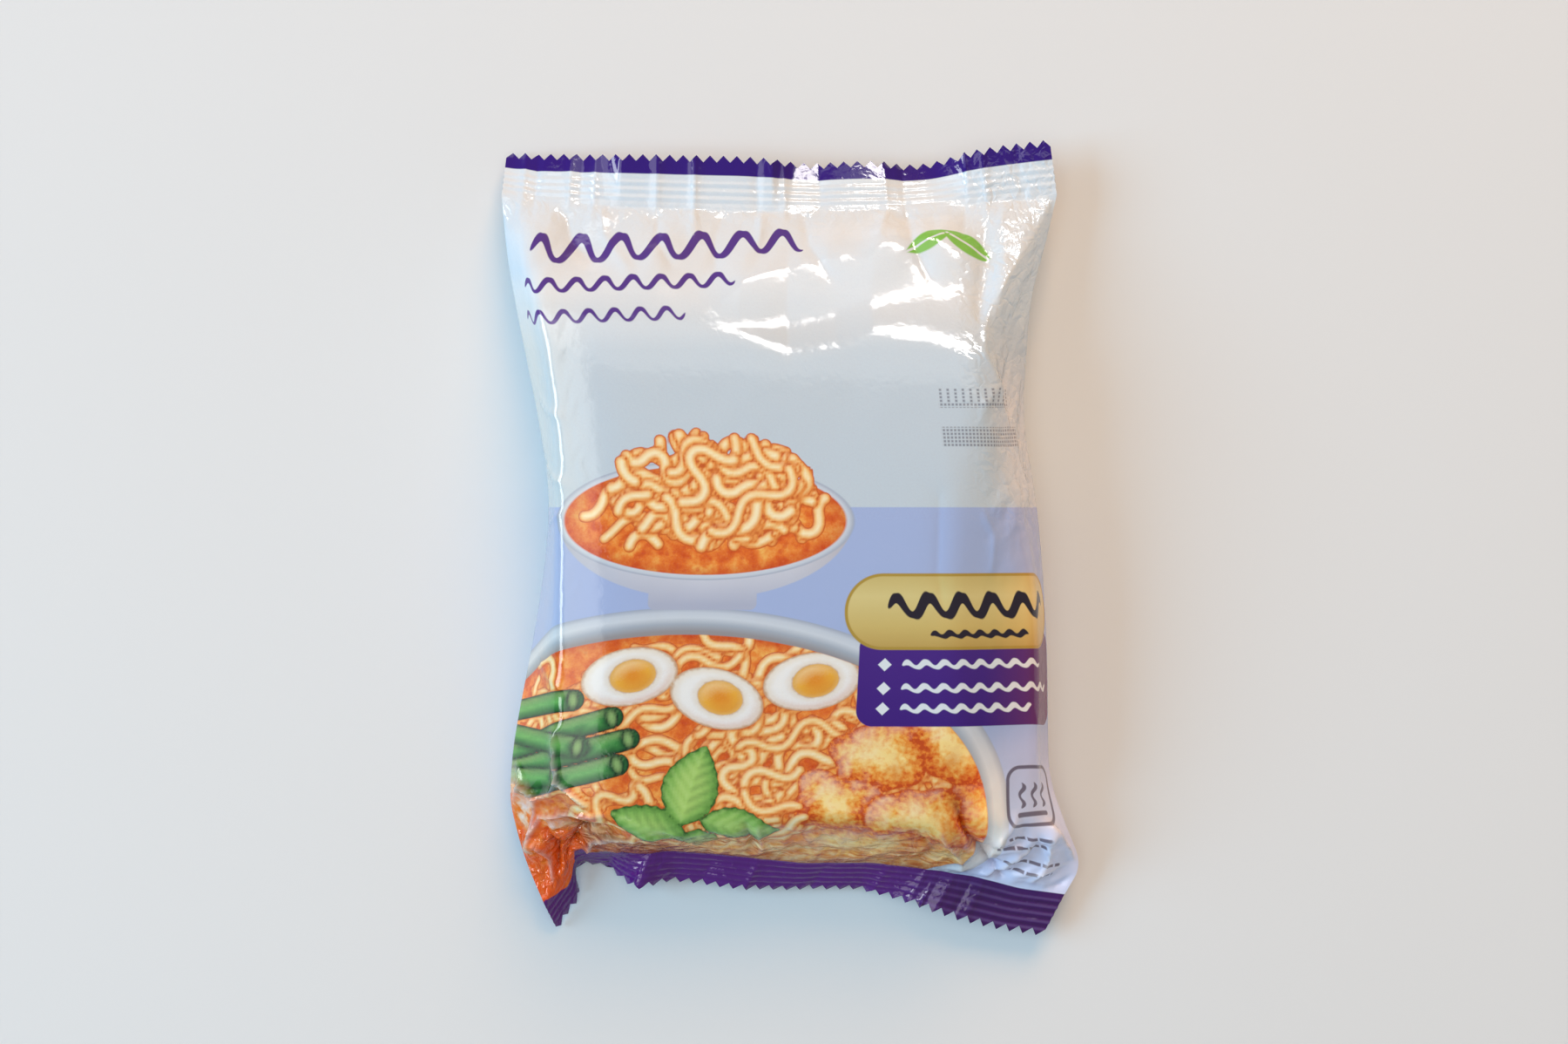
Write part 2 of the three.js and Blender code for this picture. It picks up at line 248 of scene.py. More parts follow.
def hang(inner, outer, depth):
    """The saw edge, as far below the seal line as the seal's depth leaves over from its plan length."""
    reach = np.hypot(outer[:, 0] - inner[:, 0], outer[:, 1] - inner[:, 1])
    drop = np.sqrt(np.maximum(depth**2 - reach**2, 0))
    return np.column_stack([outer[:, :2], np.maximum(inner[:, 2] - drop, LOWEST_EDGE)])


# Folds as (points on the flat film, height, half width): a sharp crest where the height is positive, else a
# valley. On the flat film, u is the distance from its middle line and v the one from the lower seal.
FOLDS = [
    ([(-61.9, 27.2), (-56.4, 25.1), (-59.5, 19), (-62.4, 12.9)], 1.9, 1.1),
    ([(-57, 19.7), (-61, 15), (-64, 10.2)], 1.5, 0.9),
    ([(-57, 19.7), (-52, 20.5), (-47.8, 21)], 1.7, 1),
    ([(-56.4, 25.1), (-51, 27), (-48.3, 30.5)], 1.3, 0.9),
    ([(-47.8, 21), (-38.5, 23.1)], 1.2, 1),
    ([(-49.6, 42), (-48.3, 30.5), (-42.3, 25.1)], 1.8, 0.9),
    ([(-52.1, 5), (-49.5, 13), (-44, 17.5), (-38, 18.5)], -2.8, 1.7),
    ([(-48.5, 2), (-46.5, 9), (-41, 13.5), (-34, 14.5)], 1.5, 1.1),
    ([(-58.5, 3), (-56, 9), (-57, 14)], -1.8, 1.2),
    ([(-62, 2), (-60, 7), (-61, 12)], 1.2, 0.9),
    ([(-65, 22), (-61.9, 27.2), (-64, 33)], 1.2, 1),
    ([(60.8, 19.7), (66, 10.2)], 1.9, 1.1),
    ([(60.8, 19.7), (59, 10), (57, 3)], 1.3, 1.2),
    ([(64.5, 9), (58, 6), (52, 4)], 0.9, 1.1),
    ([(49.9, 2), (43.4, 9.5), (39.6, 21.7), (38, 26)], -2.6, 1.8),
    ([(56, 15), (50, 9), (47, 3)], 1.5, 1),
    ([(52, 22), (46, 15), (44.5, 8)], 1.4, 1.1),
    ([(34, 20), (36.5, 11), (40, 3)], 1.3, 1.1),
    ([(28, 18), (31, 10), (30, 3)], -0.9, 1.1),
    ([(-8.1, 20.5), (-9.5, 12), (-10.9, 3.4)], -1.2, 1.1),
    ([(-5.6, 20), (-7.5, 12), (-8, 4)], 0.7, 1),
    ([(64.5, 166), (51.6, 144.2), (48.8, 136.6), (47.8, 130), (50.5, 123), (55, 113)], 1.3, 2),
    ([(50.5, 123), (46, 117)], 0.6, 1.4),
    ([(60, 131), (55, 122), (57.5, 112)], -0.7, 1.3),
    ([(57.5, 114.8), (59.2, 103.9), (61, 96)], 0.6, 1.2),
    ([(44.5, 93.5), (47, 88), (46, 80)], 0.45, 1.2),
    ([(34.2, 97), (33.1, 80.1), (34.5, 70)], -0.45, 2.2),
    ([(57.5, 46), (57.5, 38), (59, 30)], 0.5, 1),
    ([(-60, 119), (-50, 115.5)], 0.6, 1),
    ([(-62, 104), (-51.5, 100)], 0.6, 0.9),
    ([(-61, 89), (-52, 93)], 0.5, 1),
    ([(-60, 60), (-50, 53)], 0.5, 1.1),
    ([(-51.5, 170), (-47.5, 160), (-42, 155)], -1.5, 2.4),
    ([(-42.5, 170), (-40, 161), (-33.1, 152)], 1.1, 2.2),
    ([(-29, 170), (-27.5, 160), (-23, 153)], -1.2, 2.2),
    ([(-20, 170), (-19, 161)], 0.9, 2),
    ([(-12.5, 170), (-14, 160), (-13, 152)], -0.8, 2.4),
    ([(-4, 170), (-3.5, 158)], 1, 2),
    ([(6, 170), (8, 158), (13, 150)], -0.9, 2.4),
    ([(26, 170), (24, 160)], 1.1, 2.2),
    ([(31, 170), (31.5, 158), (36, 150)], -1.3, 2.2),
    ([(45, 170), (44, 159)], -0.9, 2.2),
    ([(55, 170), (50.5, 157)], 0.9, 2),
]

# Lines on the upper slope along which the film is tilted alike, as (u, v) points, and that tilt in degrees
ALIKE_LINES = [
    [(-10, 136), (-7, 135.5), (3.8, 131), (15, 133), (23, 136), (35, 134.6), (48, 130.5), (60, 130)],
    [(-10, 137.5), (-7, 137.5), (15, 140.5), (31, 146.5), (49, 149), (60, 149)],
    [(-10, 147), (0, 149), (11, 152.7), (28, 157), (39, 157), (52, 153), (60, 153)],
]
ALIKE_TILT = 20
WAVE_TILT = 6

# Pleats across the seals, as (place, height, half width)
TOP_PLEATS = [
    (-61.5, 0.7, 1), (-58.5, -0.6, 0.9), (-50, 0.8, 1.4), (-47.5, -0.5, 1.2), (-44, 0.7, 1),
    (-29, 0.8, 1.3), (-20, 0.9, 1), (-5, -0.7, 1.6), (1.5, 0.7, 1.2), (10, -0.5, 2), (26, 0.45, 1.2),
    (30.5, -0.4, 1.2), (50, 0.8, 1.1), (58.5, -0.5, 1.2),
]
BOTTOM_PLEATS = [
    (-42, -1.1, 2.2), (-33.5, 1, 1.4), (-18, -0.5, 2.4), (-7, 0.6, 1.2), (9, -0.5, 1.8), (24, 0.5, 1.2),
    (33, 0.7, 1.2), (36.5, -0.6, 0.9), (39.5, 0.8, 0.9), (44, -0.7, 0.9), (47, 0.6, 0.8),
]

FAR_AWAY = 1e9
TINY = 1e-9
# Shares of the way along a fold over which it rises and sinks away again
FOLD_START = (-0.35, 0.25)
FOLD_END = (0.75, 1.35)
CREST_LINE = 0.45
VALLEY_LINE = 0.9
FULL_LINE_RISE = 1.6
CREASES_END = (34, 46)
TABLE_SIZE = 64
ANY_PHASE = 6.28


def smooth(value, low, high):
    """A soft step from zero at low to one at high."""
    share = np.clip((value - low) / (high - low), 0, 1)
    return share * share * (3 - 2 * share)


def band(value, low, high, soft):
    """One between low and high, and zero a soft step outside them."""
    return smooth(value, low - soft, low) * (1 - smooth(value, high, high + soft))


def path_distance(u, v, path):
    """Distance of each point from a path, and the share of the way along it of the nearest place."""
    best = np.full(u.shape, FAR_AWAY)
    share = np.zeros_like(best)
    for i, ((au, av), (bu, bv)) in enumerate(zip(path[:-1], path[1:])):
        du, dv = bu - au, bv - av
        along = np.clip(((u - au) * du + (v - av) * dv) / (du * du + dv * dv + TINY), 0, 1)
        away = np.hypot(u - au - along * du, v - av - along * dv)
        closer = away < best
        best = np.where(closer, away, best)
        share = np.where(closer, (i + along) / (len(path) - 1), share)
    return best, share


def folds_around(u, v):
    """Each fold's distance, its share that isn't faded out near its ends, its height and half width."""
    for path, rise, width in FOLDS:
        away, share = path_distance(u, v, path)
        yield away, smooth(share, *FOLD_START) * (1 - smooth(share, *FOLD_END)), rise, width


def fold_height(u, v):
    return sum(rise * fade * np.exp(-away / width) for away, fade, rise, width in folds_around(u, v))


def painted_crease_lines(u, v):
    """Lines along the lower folds: up to one on a crest, for whitening and a painted highlight, and down to
    minus one in a valley, for painted shade.
    """
    lines = np.zeros_like(u)
    for away, fade, rise, _ in folds_around(u, v):
        line_width = CREST_LINE if rise > 0 else VALLEY_LINE
        lines += np.clip(rise / FULL_LINE_RISE, -1, 1) * fade * np.exp(-(away / line_width) ** 2)
    return lines * (1 - smooth(v, *CREASES_END))


def facets(u, v, size, seed):
    """Crumpled film: flat triangles of random tilt that meet in straight ridges."""
    rng = np.random.default_rng(seed)
    table = rng.uniform(-1, 1, (TABLE_SIZE, TABLE_SIZE))
    phase = rng.uniform(0, ANY_PHASE, 4)
    u, v = u / size, v / size
    a = u + 0.32 * np.sin(v * 1.9 + phase[0]) + 0.21 * np.sin(u * 2.7 + phase[1])
    b = v + 0.32 * np.sin(u * 1.7 + phase[2]) + 0.21 * np.sin(v * 2.3 + phase[3])
    i, j = np.floor(a).astype(int), np.floor(b).astype(int)
    x, y = a - i, b - j
    near, right, upper, far = (
        table[(i + di) % TABLE_SIZE, (j + dj) % TABLE_SIZE] for di, dj in ((0, 0), (1, 0), (0, 1), (1, 1)))
    low = near + x * (right - near) + y * (far - right)
    high = near + y * (upper - near) + x * (far - upper)
    return np.where(x > y, low, high)


def crumple_shares(u, v):
    """Where the film is crumpled: the end wall, the ear, the flared corner, the top and the right side."""
    wall = band(v, 2.5, 17, 4)
    ear = (1 - smooth(u, -52, -44)) * band(v, 2, 26, 6)
    corner = smooth(u, 36, 44) * band(v, 2, 20, 7)
    top = smooth(v, 142, 160) * (1 - smooth(v, 166, 169.5))
    right = smooth(u, 44, 52) * band(v, 88, 150, 14)
    return wall, ear, corner, top, right


def front_relief(u, v):
    """Height of the fine folds and crumples along the film's normal."""
    wall, ear, corner, top, right = crumple_shares(u, v)
    inside = smooth(v, 0.3, 3) * (1 - smooth(v, 167, 169.6))
    coarse = facets(u, v, 6.5, 11)
    medium = facets(u, v * 1.25, 3.4, 12)
    fine = facets(u * 1.1, v * 0.9, 2.0, 13)
    broad = facets(u, v, 24, 14) + 0.4 * facets(u, v, 13, 15)
    relief = wall * (0.6 * coarse + 0.55 * medium + 0.3 * fine)
    relief += ear * (1.5 * facets(u, v, 8.0, 22) + 1.0 * facets(u, v, 4.8, 20))
    relief += corner * (1.2 * facets(u, v, 9.5, 19) + 0.3 * coarse + 0.16 * medium)
    relief += top * (0.26 * facets(u * 1.3, v * 0.7, 7.5, 16) + 0.05 * medium)
    relief += right * (0.42 * facets(u * 1.2, v * 0.8, 6, 17) + 0.14 * fine)
    relief += 0.07 * band(np.abs(u), 46, 52, 2.5) * facets(u, v * 0.8, 2.3, 23)
    relief += 0.16 * broad + 0.03 * coarse
    return (relief + (1.15 - 0.4 * smooth(v, 144, 158)) * fold_height(u, v)) * inside


def upper_waves(u, v, slope):
    """Two soft waves across the upper slope, which bring it to one tilt along each of the alike lines."""
    lower, middle, upper = (np.interp(u[0], *zip(*line)) for line in ALIKE_LINES)
    first = np.sin(math.pi * np.clip((v - lower) / (middle - lower), 0, 1))
    second = np.sin(math.pi * np.clip((v - middle) / (upper - middle), 0, 1))
    wanted = ALIKE_TILT + WAVE_TILT * (first - second)
    share = smooth(v, lower - 3.5, lower) * (1 - smooth(v, upper, upper + 2.5))
    extra = np.tan(np.radians(wanted)) - slope
    steps = np.diff(v, axis=0, prepend=v[:1])
    height = -np.cumsum(extra * share * steps, axis=0)
    height -= height[-1] * smooth(v, upper + 1, 168.5)
    beside = smooth(u, -17, -5) * (1 - smooth(u, 47, 54))
    return height * beside


def pleat_height(u, pleats):
    """Height of the sharp pleats that cross a seal."""
    return sum(rise * np.exp(-np.abs(u - place) / width) for place, rise, width in pleats)


def seal_relief(u, v, length):
    """Height of the pleats that run across the seals and a little way into the body."""
    top = 0.8 * smooth(v, length - 9, length + 5) * pleat_height(u, TOP_PLEATS)
    wave = 0.35 * np.sin(u / 9.5) * smooth(v, length - 4, length + 9)
    bottom = (1 - smooth(v, -5, 2.5)) * pleat_height(u, BOTTOM_PLEATS)
    return top + wave, bottom


def surface_normals(grid):
    normal = np.cross(np.gradient(grid, axis=1), np.gradient(grid, axis=0))
    return normal / np.maximum(np.linalg.norm(normal, axis=2, keepdims=True), TINY)


# Picture of the food, as fields over the flat film: each kind's depth inside its outline, in millimetres

HIDDEN = -6.0
PICTURE_LIGHT = (-0.55, 0.83)
EDGE_SHADOW = 0.7
STRAND_STEP = 1.1
STRAND_BEYOND = 1.06
BOWL_RIM = 5.4
# Ellipses as (middle u, middle v, radius along u, radius along v)
BOWL = (-22, 25, 72.3, 46.5)
BOWL_INSIDE = (BOWL[0], BOWL[1] - 0.8, BOWL[2] - BOWL_RIM, BOWL[3] - BOWL_RIM)
SMALL_BOWL = (-19, 91.5, 32, 12.5)
# Slices of egg as (centre, turn)
EGGS = [((-34, 55.5), 0.2), ((-14.5, 50.5), -0.35), ((6, 54.5), 0.15)]
# Fried pieces as (centre, half width, half height, turn)
FRIED_PIECES = [
    ((36, 40), 10, 7.5, -0.5), ((21, 36.5), 9.5, 8, 0.35), ((43, 24), 8, 7, 0.2), ((12, 25), 9, 7.5, -0.2),
    ((29, 21), 11, 8, 0.1), ((15, 10), 12, 6.5, 0.05), ((38, 8.5), 9, 6, -0.1),
]
# Green stalks in a fan as (start, end)
STALKS = [
    ((-72, 47), (-46, 50)), ((-72, 35), (-37, 46)), ((-68, 31), (-33, 41)), ((-72, 42), (-44, 39)),
    ((-61, 27), (-35, 35)), ((-70, 29), (-50, 31)),
]
# A sprig's leaves as (centre, length, half width, turn)
LEAVES = [
    ((-29, 21), 17, 5.6, 2.75), ((-19, 30.5), 19, 6.2, 1.25), ((-9.5, 19.5), 17, 5.4, -0.35),
    ((-20.5, 13.5), 14, 4.4, -1.9),
]


class Picture:
    """A picture painted item by item, from the lowest to the uppermost."""

    def __init__(self, u, v):
        self.u, self.v = u, v
        self.depth = {kind: np.full(u.shape, HIDDEN) for kind in FOOD_LOOKS}
        self.lit = np.zeros(u.shape)

    def window(self, left, right, low, high):
        """The part of the film that an item can touch."""
        rows = np.flatnonzero((self.v[:, 0] > low) & (self.v[:, 0] < high))
        columns = np.flatnonzero((self.u[0] > left) & (self.u[0] < right))
        if len(rows) < 3 or len(columns) < 3:
            return None
        return slice(rows[0], rows[-1] + 1), slice(columns[0], columns[-1] + 1)

    def paint(self, kind, place, edge, roundness, shade=None):
        """Lays an item over what is there. Its edge is negative inside."""
        for field in self.depth.values():
            field[place] = np.minimum(field[place], edge)
        self.depth[kind][place] = np.maximum(self.depth[kind][place], -edge)
        if shade is None:
            along_v, along_u = np.gradient(edge, self.v[place[0], 0], self.u[0, place[1]])
            slope = np.clip(1 + edge / roundness, 0, 1)
            shade = (along_u * PICTURE_LIGHT[0] + along_v * PICTURE_LIGHT[1]) * slope
        fade = np.clip(np.abs(edge) / EDGE_SHADOW, 0, 1)
        self.lit[place] = np.where(edge < 0, shade, self.lit[place]) * fade

    def strand(self, kind, path, width):
        """A round strand along a path."""
        path = np.array(path)
        (left, low), (right, high) = path.min(axis=0) - width - 3, path.max(axis=0) + width + 3
        place = self.window(left, right, low, high)
        if place:
            away = path_distance(self.u[place], self.v[place], path)[0]
            self.paint(kind, place, away - width, width)

    def blob(self, kind, centre, size, turn, roundness, shape, shade=None):
        """An item whose outline is a function of its own turned coordinates."""
        reach = max(size) + 4
        place = self.window(centre[0] - reach, centre[0] + reach, centre[1] - reach, centre[1] + reach)
        if not place:
            return
        du, dv = self.u[place] - centre[0], self.v[place] - centre[1]
        x = du * math.cos(turn) + dv * math.sin(turn)
        y = dv * math.cos(turn) - du * math.sin(turn)
        edge = shape(x, y)
        self.paint(kind, place, edge, roundness, shade(x, y, edge) if shade else None)


def oval(radius_x, radius_y):
    """Rough distance outside an ellipse around the origin."""
    def edge(x, y):
        return (np.hypot(x / radius_x, y / radius_y) - 1) * min(radius_x, radius_y)
    return edge


def lump(half_x, half_y, corner, seed):
    """A rounded block whose outline wanders a little."""
    phase = np.random.default_rng(seed).uniform(0, ANY_PHASE, 3)

    def edge(x, y):
        turn = np.arctan2(y, x)
        wander = sum(swing * np.sin(lobes * turn + start)
                     for swing, lobes, start in zip((0.5, 0.35, 0.2), (3, 5, 9), phase))
        qx, qy = np.abs(x) - half_x + corner, np.abs(y) - half_y + corner
        outside = np.hypot(np.maximum(qx, 0), np.maximum(qy, 0))
        return outside + np.minimum(np.maximum(qx, qy), 0) - corner + wander
    return edge


def crust(seed):
    """Light and dark patches of a fried crust."""
    def shade(x, y, edge):
        rough = facets(x, y, 3.2, seed) + 0.6 * facets(x, y, 1.7, seed + 1)
        return 0.55 * rough + 0.5 * np.clip(y / 6 - x / 12, -1, 1)
    return shade


def blade(length, width):
    """A pointed leaf with a toothed edge."""
    def edge(x, y):
        share = np.clip(x / length + 0.5, 0, 1)
        half = width * np.sin(math.pi * share**0.85) ** 0.8
        over = np.abs(y) - half + 0.35 * np.abs(np.sin(share * 26))
        beyond = np.maximum(np.abs(x) - length / 2, 0)
        return np.hypot(np.maximum(over, 0), beyond) + np.minimum(over, 0)
    return edge


def veins(x, y, edge):
    """The midrib, the side veins and the puffed skin between them."""
    rib = np.exp(-np.abs(y) / 0.3)
    side = 0.5 + 0.5 * np.cos((x - np.abs(y) * 0.9) * 2.4)
    return 0.55 * rib + 0.7 * side - 0.5 + 0.25 * np.sign(y) * (1 - rib)


def cut_face(x, y, edge):
    """The evenly lit cut end of a stalk."""
    return np.full(x.shape, 0.9)


def wavy_path(rng, start, heading, length, wave, swing, drift):
    """A curly strand: its heading swings as it goes."""
    phase = rng.uniform(0, ANY_PHASE)
    reach = np.arange(max(4, int(length / STRAND_STEP))) * STRAND_STEP
    turn = heading + swing * np.sin(reach / wave * ANY_PHASE + phase) + drift * reach
    points = np.stack([np.cos(turn), np.sin(turn)], axis=1).cumsum(axis=0) * STRAND_STEP
    return points + np.array(start)


def paint_noodles(picture, seed, count, inside, lengths, width, level):
    """Curly strands that start at random places inside an outline and stay mostly in it."""
    rng = np.random.default_rng(seed)
    centre_u, centre_v, radius_u, radius_v = inside
    for _ in range(count):
        turn, reach = rng.uniform(0, ANY_PHASE), rng.uniform(0, 1) ** 0.5
        start = (centre_u + radius_u * reach * math.cos(turn), centre_v + radius_v * reach * math.sin(turn))
        heading = rng.uniform(-level, level) + (math.pi if rng.random() < 0.5 else 0)
        length, wave_length = rng.uniform(*lengths), rng.uniform(13, 22)
        swing, drift = rng.uniform(0.6, 1.3), rng.uniform(-0.03, 0.03)
        path = wavy_path(rng, start, heading, length, wave_length, swing, drift)
        away = np.hypot((path[:, 0] - centre_u) / radius_u, (path[:, 1] - centre_v) / radius_v)
        if (away >= STRAND_BEYOND).any():
            path = path[:np.argmax(away >= STRAND_BEYOND)]
        if len(path) > 4:
            picture.strand("noodle", path, width * rng.uniform(0.85, 1.12))


def paint_food(u, v):
    """The big bowl's filling below and the small bowl's heap of noodles above it."""
    picture = Picture(u, v)
    paint_noodles(picture, 21, 120, (-20, 26, 64, 38), (22, 60), 1.15, 0.9)
    plain = smooth(u, -50, -44) + smooth(v, 22, 29)
    picture.depth["noodle"] = np.minimum(picture.depth["noodle"], (np.minimum(plain, 1) - 0.5) * 6)
    for centre, turn in EGGS:
        picture.blob("pale", centre, (10.5, 7), turn, 2.2, oval(10.5, 6.6))
        picture.blob("yolk", (centre[0] + 0.8, centre[1] + 0.2), (5, 4), turn, 3, oval(4.9, 3.7))
    for k, (centre, half_x, half_y, turn) in enumerate(FRIED_PIECES):
        outline = lump(half_x, half_y, 4, 40 + k)
        picture.blob("chunk", centre, (half_x, half_y), turn, 4, outline, crust(60 + 2 * k))
    for start, end in STALKS:
        picture.strand("stalk", [start, end], 2.5)
        direction = math.atan2(end[1] - start[1], end[0] - start[0])
        picture.blob("stalk", end, (2.4, 2.4), direction, 6, oval(1.2, 2.35), cut_face)
    paint_noodles(picture, 23, 9, (-12, 22, 16, 8), (14, 30), 1.15, 0.7)
    for centre, length, width, turn in LEAVES:
        picture.blob("leaf", centre, (length, width), turn, 3, blade(length, width), veins)
    paint_noodles(picture, 31, 16, (-19, 93, 28, 9), (16, 34), 1.3, 0.5)
    paint_noodles(picture, 32, 44, (-17, 98.5, 22, 12.5), (18, 40), 1.3, 1.0)
    return picture


# Node trees written as expressions


class Value:
    """A node's number output, with arithmetic that adds Math nodes."""

    def __init__(self, sheet, socket):
        self.sheet, self.socket = sheet, socket

    def math(self, operation, *others):
        return self.sheet.math(operation, self, *others)

    def __rsub__(self, other):
        return self.sheet.math("SUBTRACT", other, self)

    def __neg__(self):
        return self * -1

    def held(self):
        """The number held between zero and one."""
        return self.most(0).least(1)

    def step(self, low, high):
        """A straight step from zero at low to one at high."""
        return ((self - low) * (1 / (high - low))).held()

    def tiled(self, pitch):
        """The number's distance from the middle of its cell, in a row of cells as wide as the pitch."""
        return self.math("PINGPONG", pitch / 2)


# Every other operator and method of a value, with the operation of its Math node
for operator, operation in {
    "__add__": "ADD", "__sub__": "SUBTRACT", "__mul__": "MULTIPLY", "__truediv__": "DIVIDE",
    "__pow__": "POWER", "__abs__": "ABSOLUTE", "sin": "SINE", "cos": "COSINE", "sqrt": "SQRT",
    "sign": "SIGN", "least": "MINIMUM", "most": "MAXIMUM", "above": "GREATER_THAN",
}.items():
    setattr(Value, operator, partialmethod(Value.math, operation))


class Sheet:
    """A node tree with one method that adds any node."""

    def __init__(self, tree):
        self.tree = tree

    def put(self, socket, given):
        """Links a socket to a value or a node's output, or sets it to a constant."""
        given = getattr(given, "socket", given)
        if isinstance(given, bpy.types.NodeSocket):
            self.tree.links.new(given, socket)
        else:
            socket.default_value = given

    def node(self, kind, sockets=(), out=0, stops=(), **settings):
        """Adds a node with what its sockets get, its ramp's stops and its settings."""
        node = self.tree.nodes.new(kind)
        for name, setting in settings.items():
            setattr(node, name, setting)
        for k, (place, colour) in enumerate(stops):
            ramp = node.color_ramp.elements
            stop = ramp[k] if k < 2 else ramp.new(place)
            stop.position = place
            stop.color = (*colour, 1)
        for name, given in dict(sockets).items():
            self.put(node.inputs[name], given)
        return Value(self, node.outputs[out])

    def math(self, operation, *terms):
        return self.node("ShaderNodeMath", dict(enumerate(terms)), operation=operation)

    def vector(self, operation, *terms, **named):
        sockets = {**dict(enumerate(terms)), **named}
        return self.node("ShaderNodeVectorMath", sockets, operation=operation)

    def join(self, x, y, z):
        return self.node("ShaderNodeCombineXYZ", {0: x, 1: y, 2: z})


class Finish(Sheet):
    """A material: constants go straight to its shader, and patterns are laid over one another."""

    def __init__(self, name, constants):
        self.material = bpy.data.materials.new(name)
        self.material.use_nodes = True
        super().__init__(self.material.node_tree)
        self.shader = self.tree.nodes["Principled BSDF"]
        for socket, constant in constants.items():
            self.vary(socket, constant)

    def vary(self, socket, value):
        self.put(self.shader.inputs[socket], value)

    def attribute(self, name):
        return self.node("ShaderNodeAttribute", out=2, attribute_name=name)

    def lay(self, mask, below, above):
        """One colour laid over another where the mask is one."""
        below, above = ((*given, 1) if isinstance(given, tuple) else given for given in (below, above))
        return self.node("ShaderNodeMix", {0: mask, 6: below, 7: above}, out=2, data_type="RGBA")

    def ramp(self, value, stops):
        """A colour for each number, between stops of (place, red, green, blue) as on a screen."""
        stops = [(place, srgb(*colour)) for place, *colour in stops]
        return self.node("ShaderNodeValToRGB", {0: value}, stops=stops)

    def noise(self, place, scale, detail=2.0, roughness=0.5, out=0):
        sockets = {"Vector": place, "Scale": scale, "Detail": detail, "Roughness": roughness}
        return self.node("ShaderNodeTexNoise", sockets, out)

    def cells(self, place, scale, feature="F1"):
        """Distance from the middles of random cells, or from their edges."""
        return self.node("ShaderNodeTexVoronoi", {"Vector": place, "Scale": scale}, feature=feature)


def srgb(red, green, blue):
    """A colour given as on a screen, as linear light."""
    def linear(part):
        part /= 255
        return part / 12.92 if part <= 0.04045 else ((part + 0.055) / 1.055) ** 2.4
    return tuple(linear(part) for part in (red, green, blue))


# Printed film

WHITE = srgb(224, 232, 237)
WARM_WHITE = srgb(220, 229, 236)
# Painted shade: the front's white below the upper slope, darker and greyer than on the slope
WHITE_IN_PAINTED_SHADE = srgb(197, 211, 221)
PANEL_GREY = srgb(238, 239, 241)
LILAC = srgb(166, 184, 224)
VIOLET = srgb(60, 20, 124)
# Painted light on the violet panel: a lighter sheen towards its top and a warm tone at its right end
PANEL_VIOLET_LIGHTS = (srgb(72, 34, 132), srgb(100, 44, 100))
TOP_VIOLET = srgb(50, 14, 122)
END_VIOLETS = (srgb(94, 30, 122), srgb(68, 22, 96))
# Painted highlight on the ribs' crests and painted shade in their grooves
RIB_CREST_HIGHLIGHT = srgb(160, 140, 200)
RIB_GROOVE_SHADE = srgb(34, 8, 60)
TITLE_INK = srgb(86, 56, 140)
DARK_INK = srgb(38, 30, 44)
GREY_INK = srgb(120, 124, 136)
MARK_INK = srgb(70, 62, 84)
LEAF_INK = srgb(132, 196, 84)
GOLD_SHADE = srgb(176, 146, 62)
# Stress whitening and a painted highlight on the crests of folds
CREST_WHITENING_AND_HIGHLIGHT = srgb(252, 242, 236)
CHINA_SHADOW = srgb(176, 182, 202)
OIL = srgb(206, 52, 12)
BROTH_EDGE = srgb(196, 66, 20)
# Painted shade along the fold where the end wall meets the lower seal
SEAL_LINE_SHADE = srgb(150, 62, 22)
# Highlight and shadow of the food, and of what is green in it
FOOD_LIGHT = (srgb(255, 246, 222), srgb(206, 232, 150))
FOOD_SHADE = (srgb(196, 72, 8), srgb(26, 78, 34))

# Ramps of (place, red, green, blue)
CHINA = [
    (0, 162, 172, 190), (0.2, 200, 209, 220), (0.42, 208, 216, 225), (0.7, 168, 178, 190),
    (1, 152, 148, 150),
]
CHINA_SIDE = [
    (0, 178, 184, 198), (0.22, 214, 218, 226), (0.5, 238, 239, 242), (0.8, 220, 222, 228),
    (1, 186, 184, 192),
]
BROTH = [(0.3, 206, 70, 14), (0.45, 228, 108, 32), (0.56, 240, 140, 54), (0.7, 248, 190, 96)]
STREAKS = [(0.34, 196, 104, 36), (0.5, 238, 176, 98), (0.64, 255, 228, 168)]
# Painted shadow in the hollow of the fold beside the ear
HOLLOW_SHADOW = [(0.34, 104, 36, 16), (0.5, 160, 78, 40), (0.64, 226, 164, 116)]
# The ear's deep orange print, with whitish patches of painted sheen
EAR_ORANGE_AND_SHEEN = [(0.4, 255, 94, 14), (0.53, 255, 132, 40), (0.6, 255, 206, 164), (0.7, 250, 226, 212)]
GOLD = [(0, 190, 158, 84), (0.3, 208, 184, 110), (0.7, 218, 202, 136), (1, 202, 182, 112)]
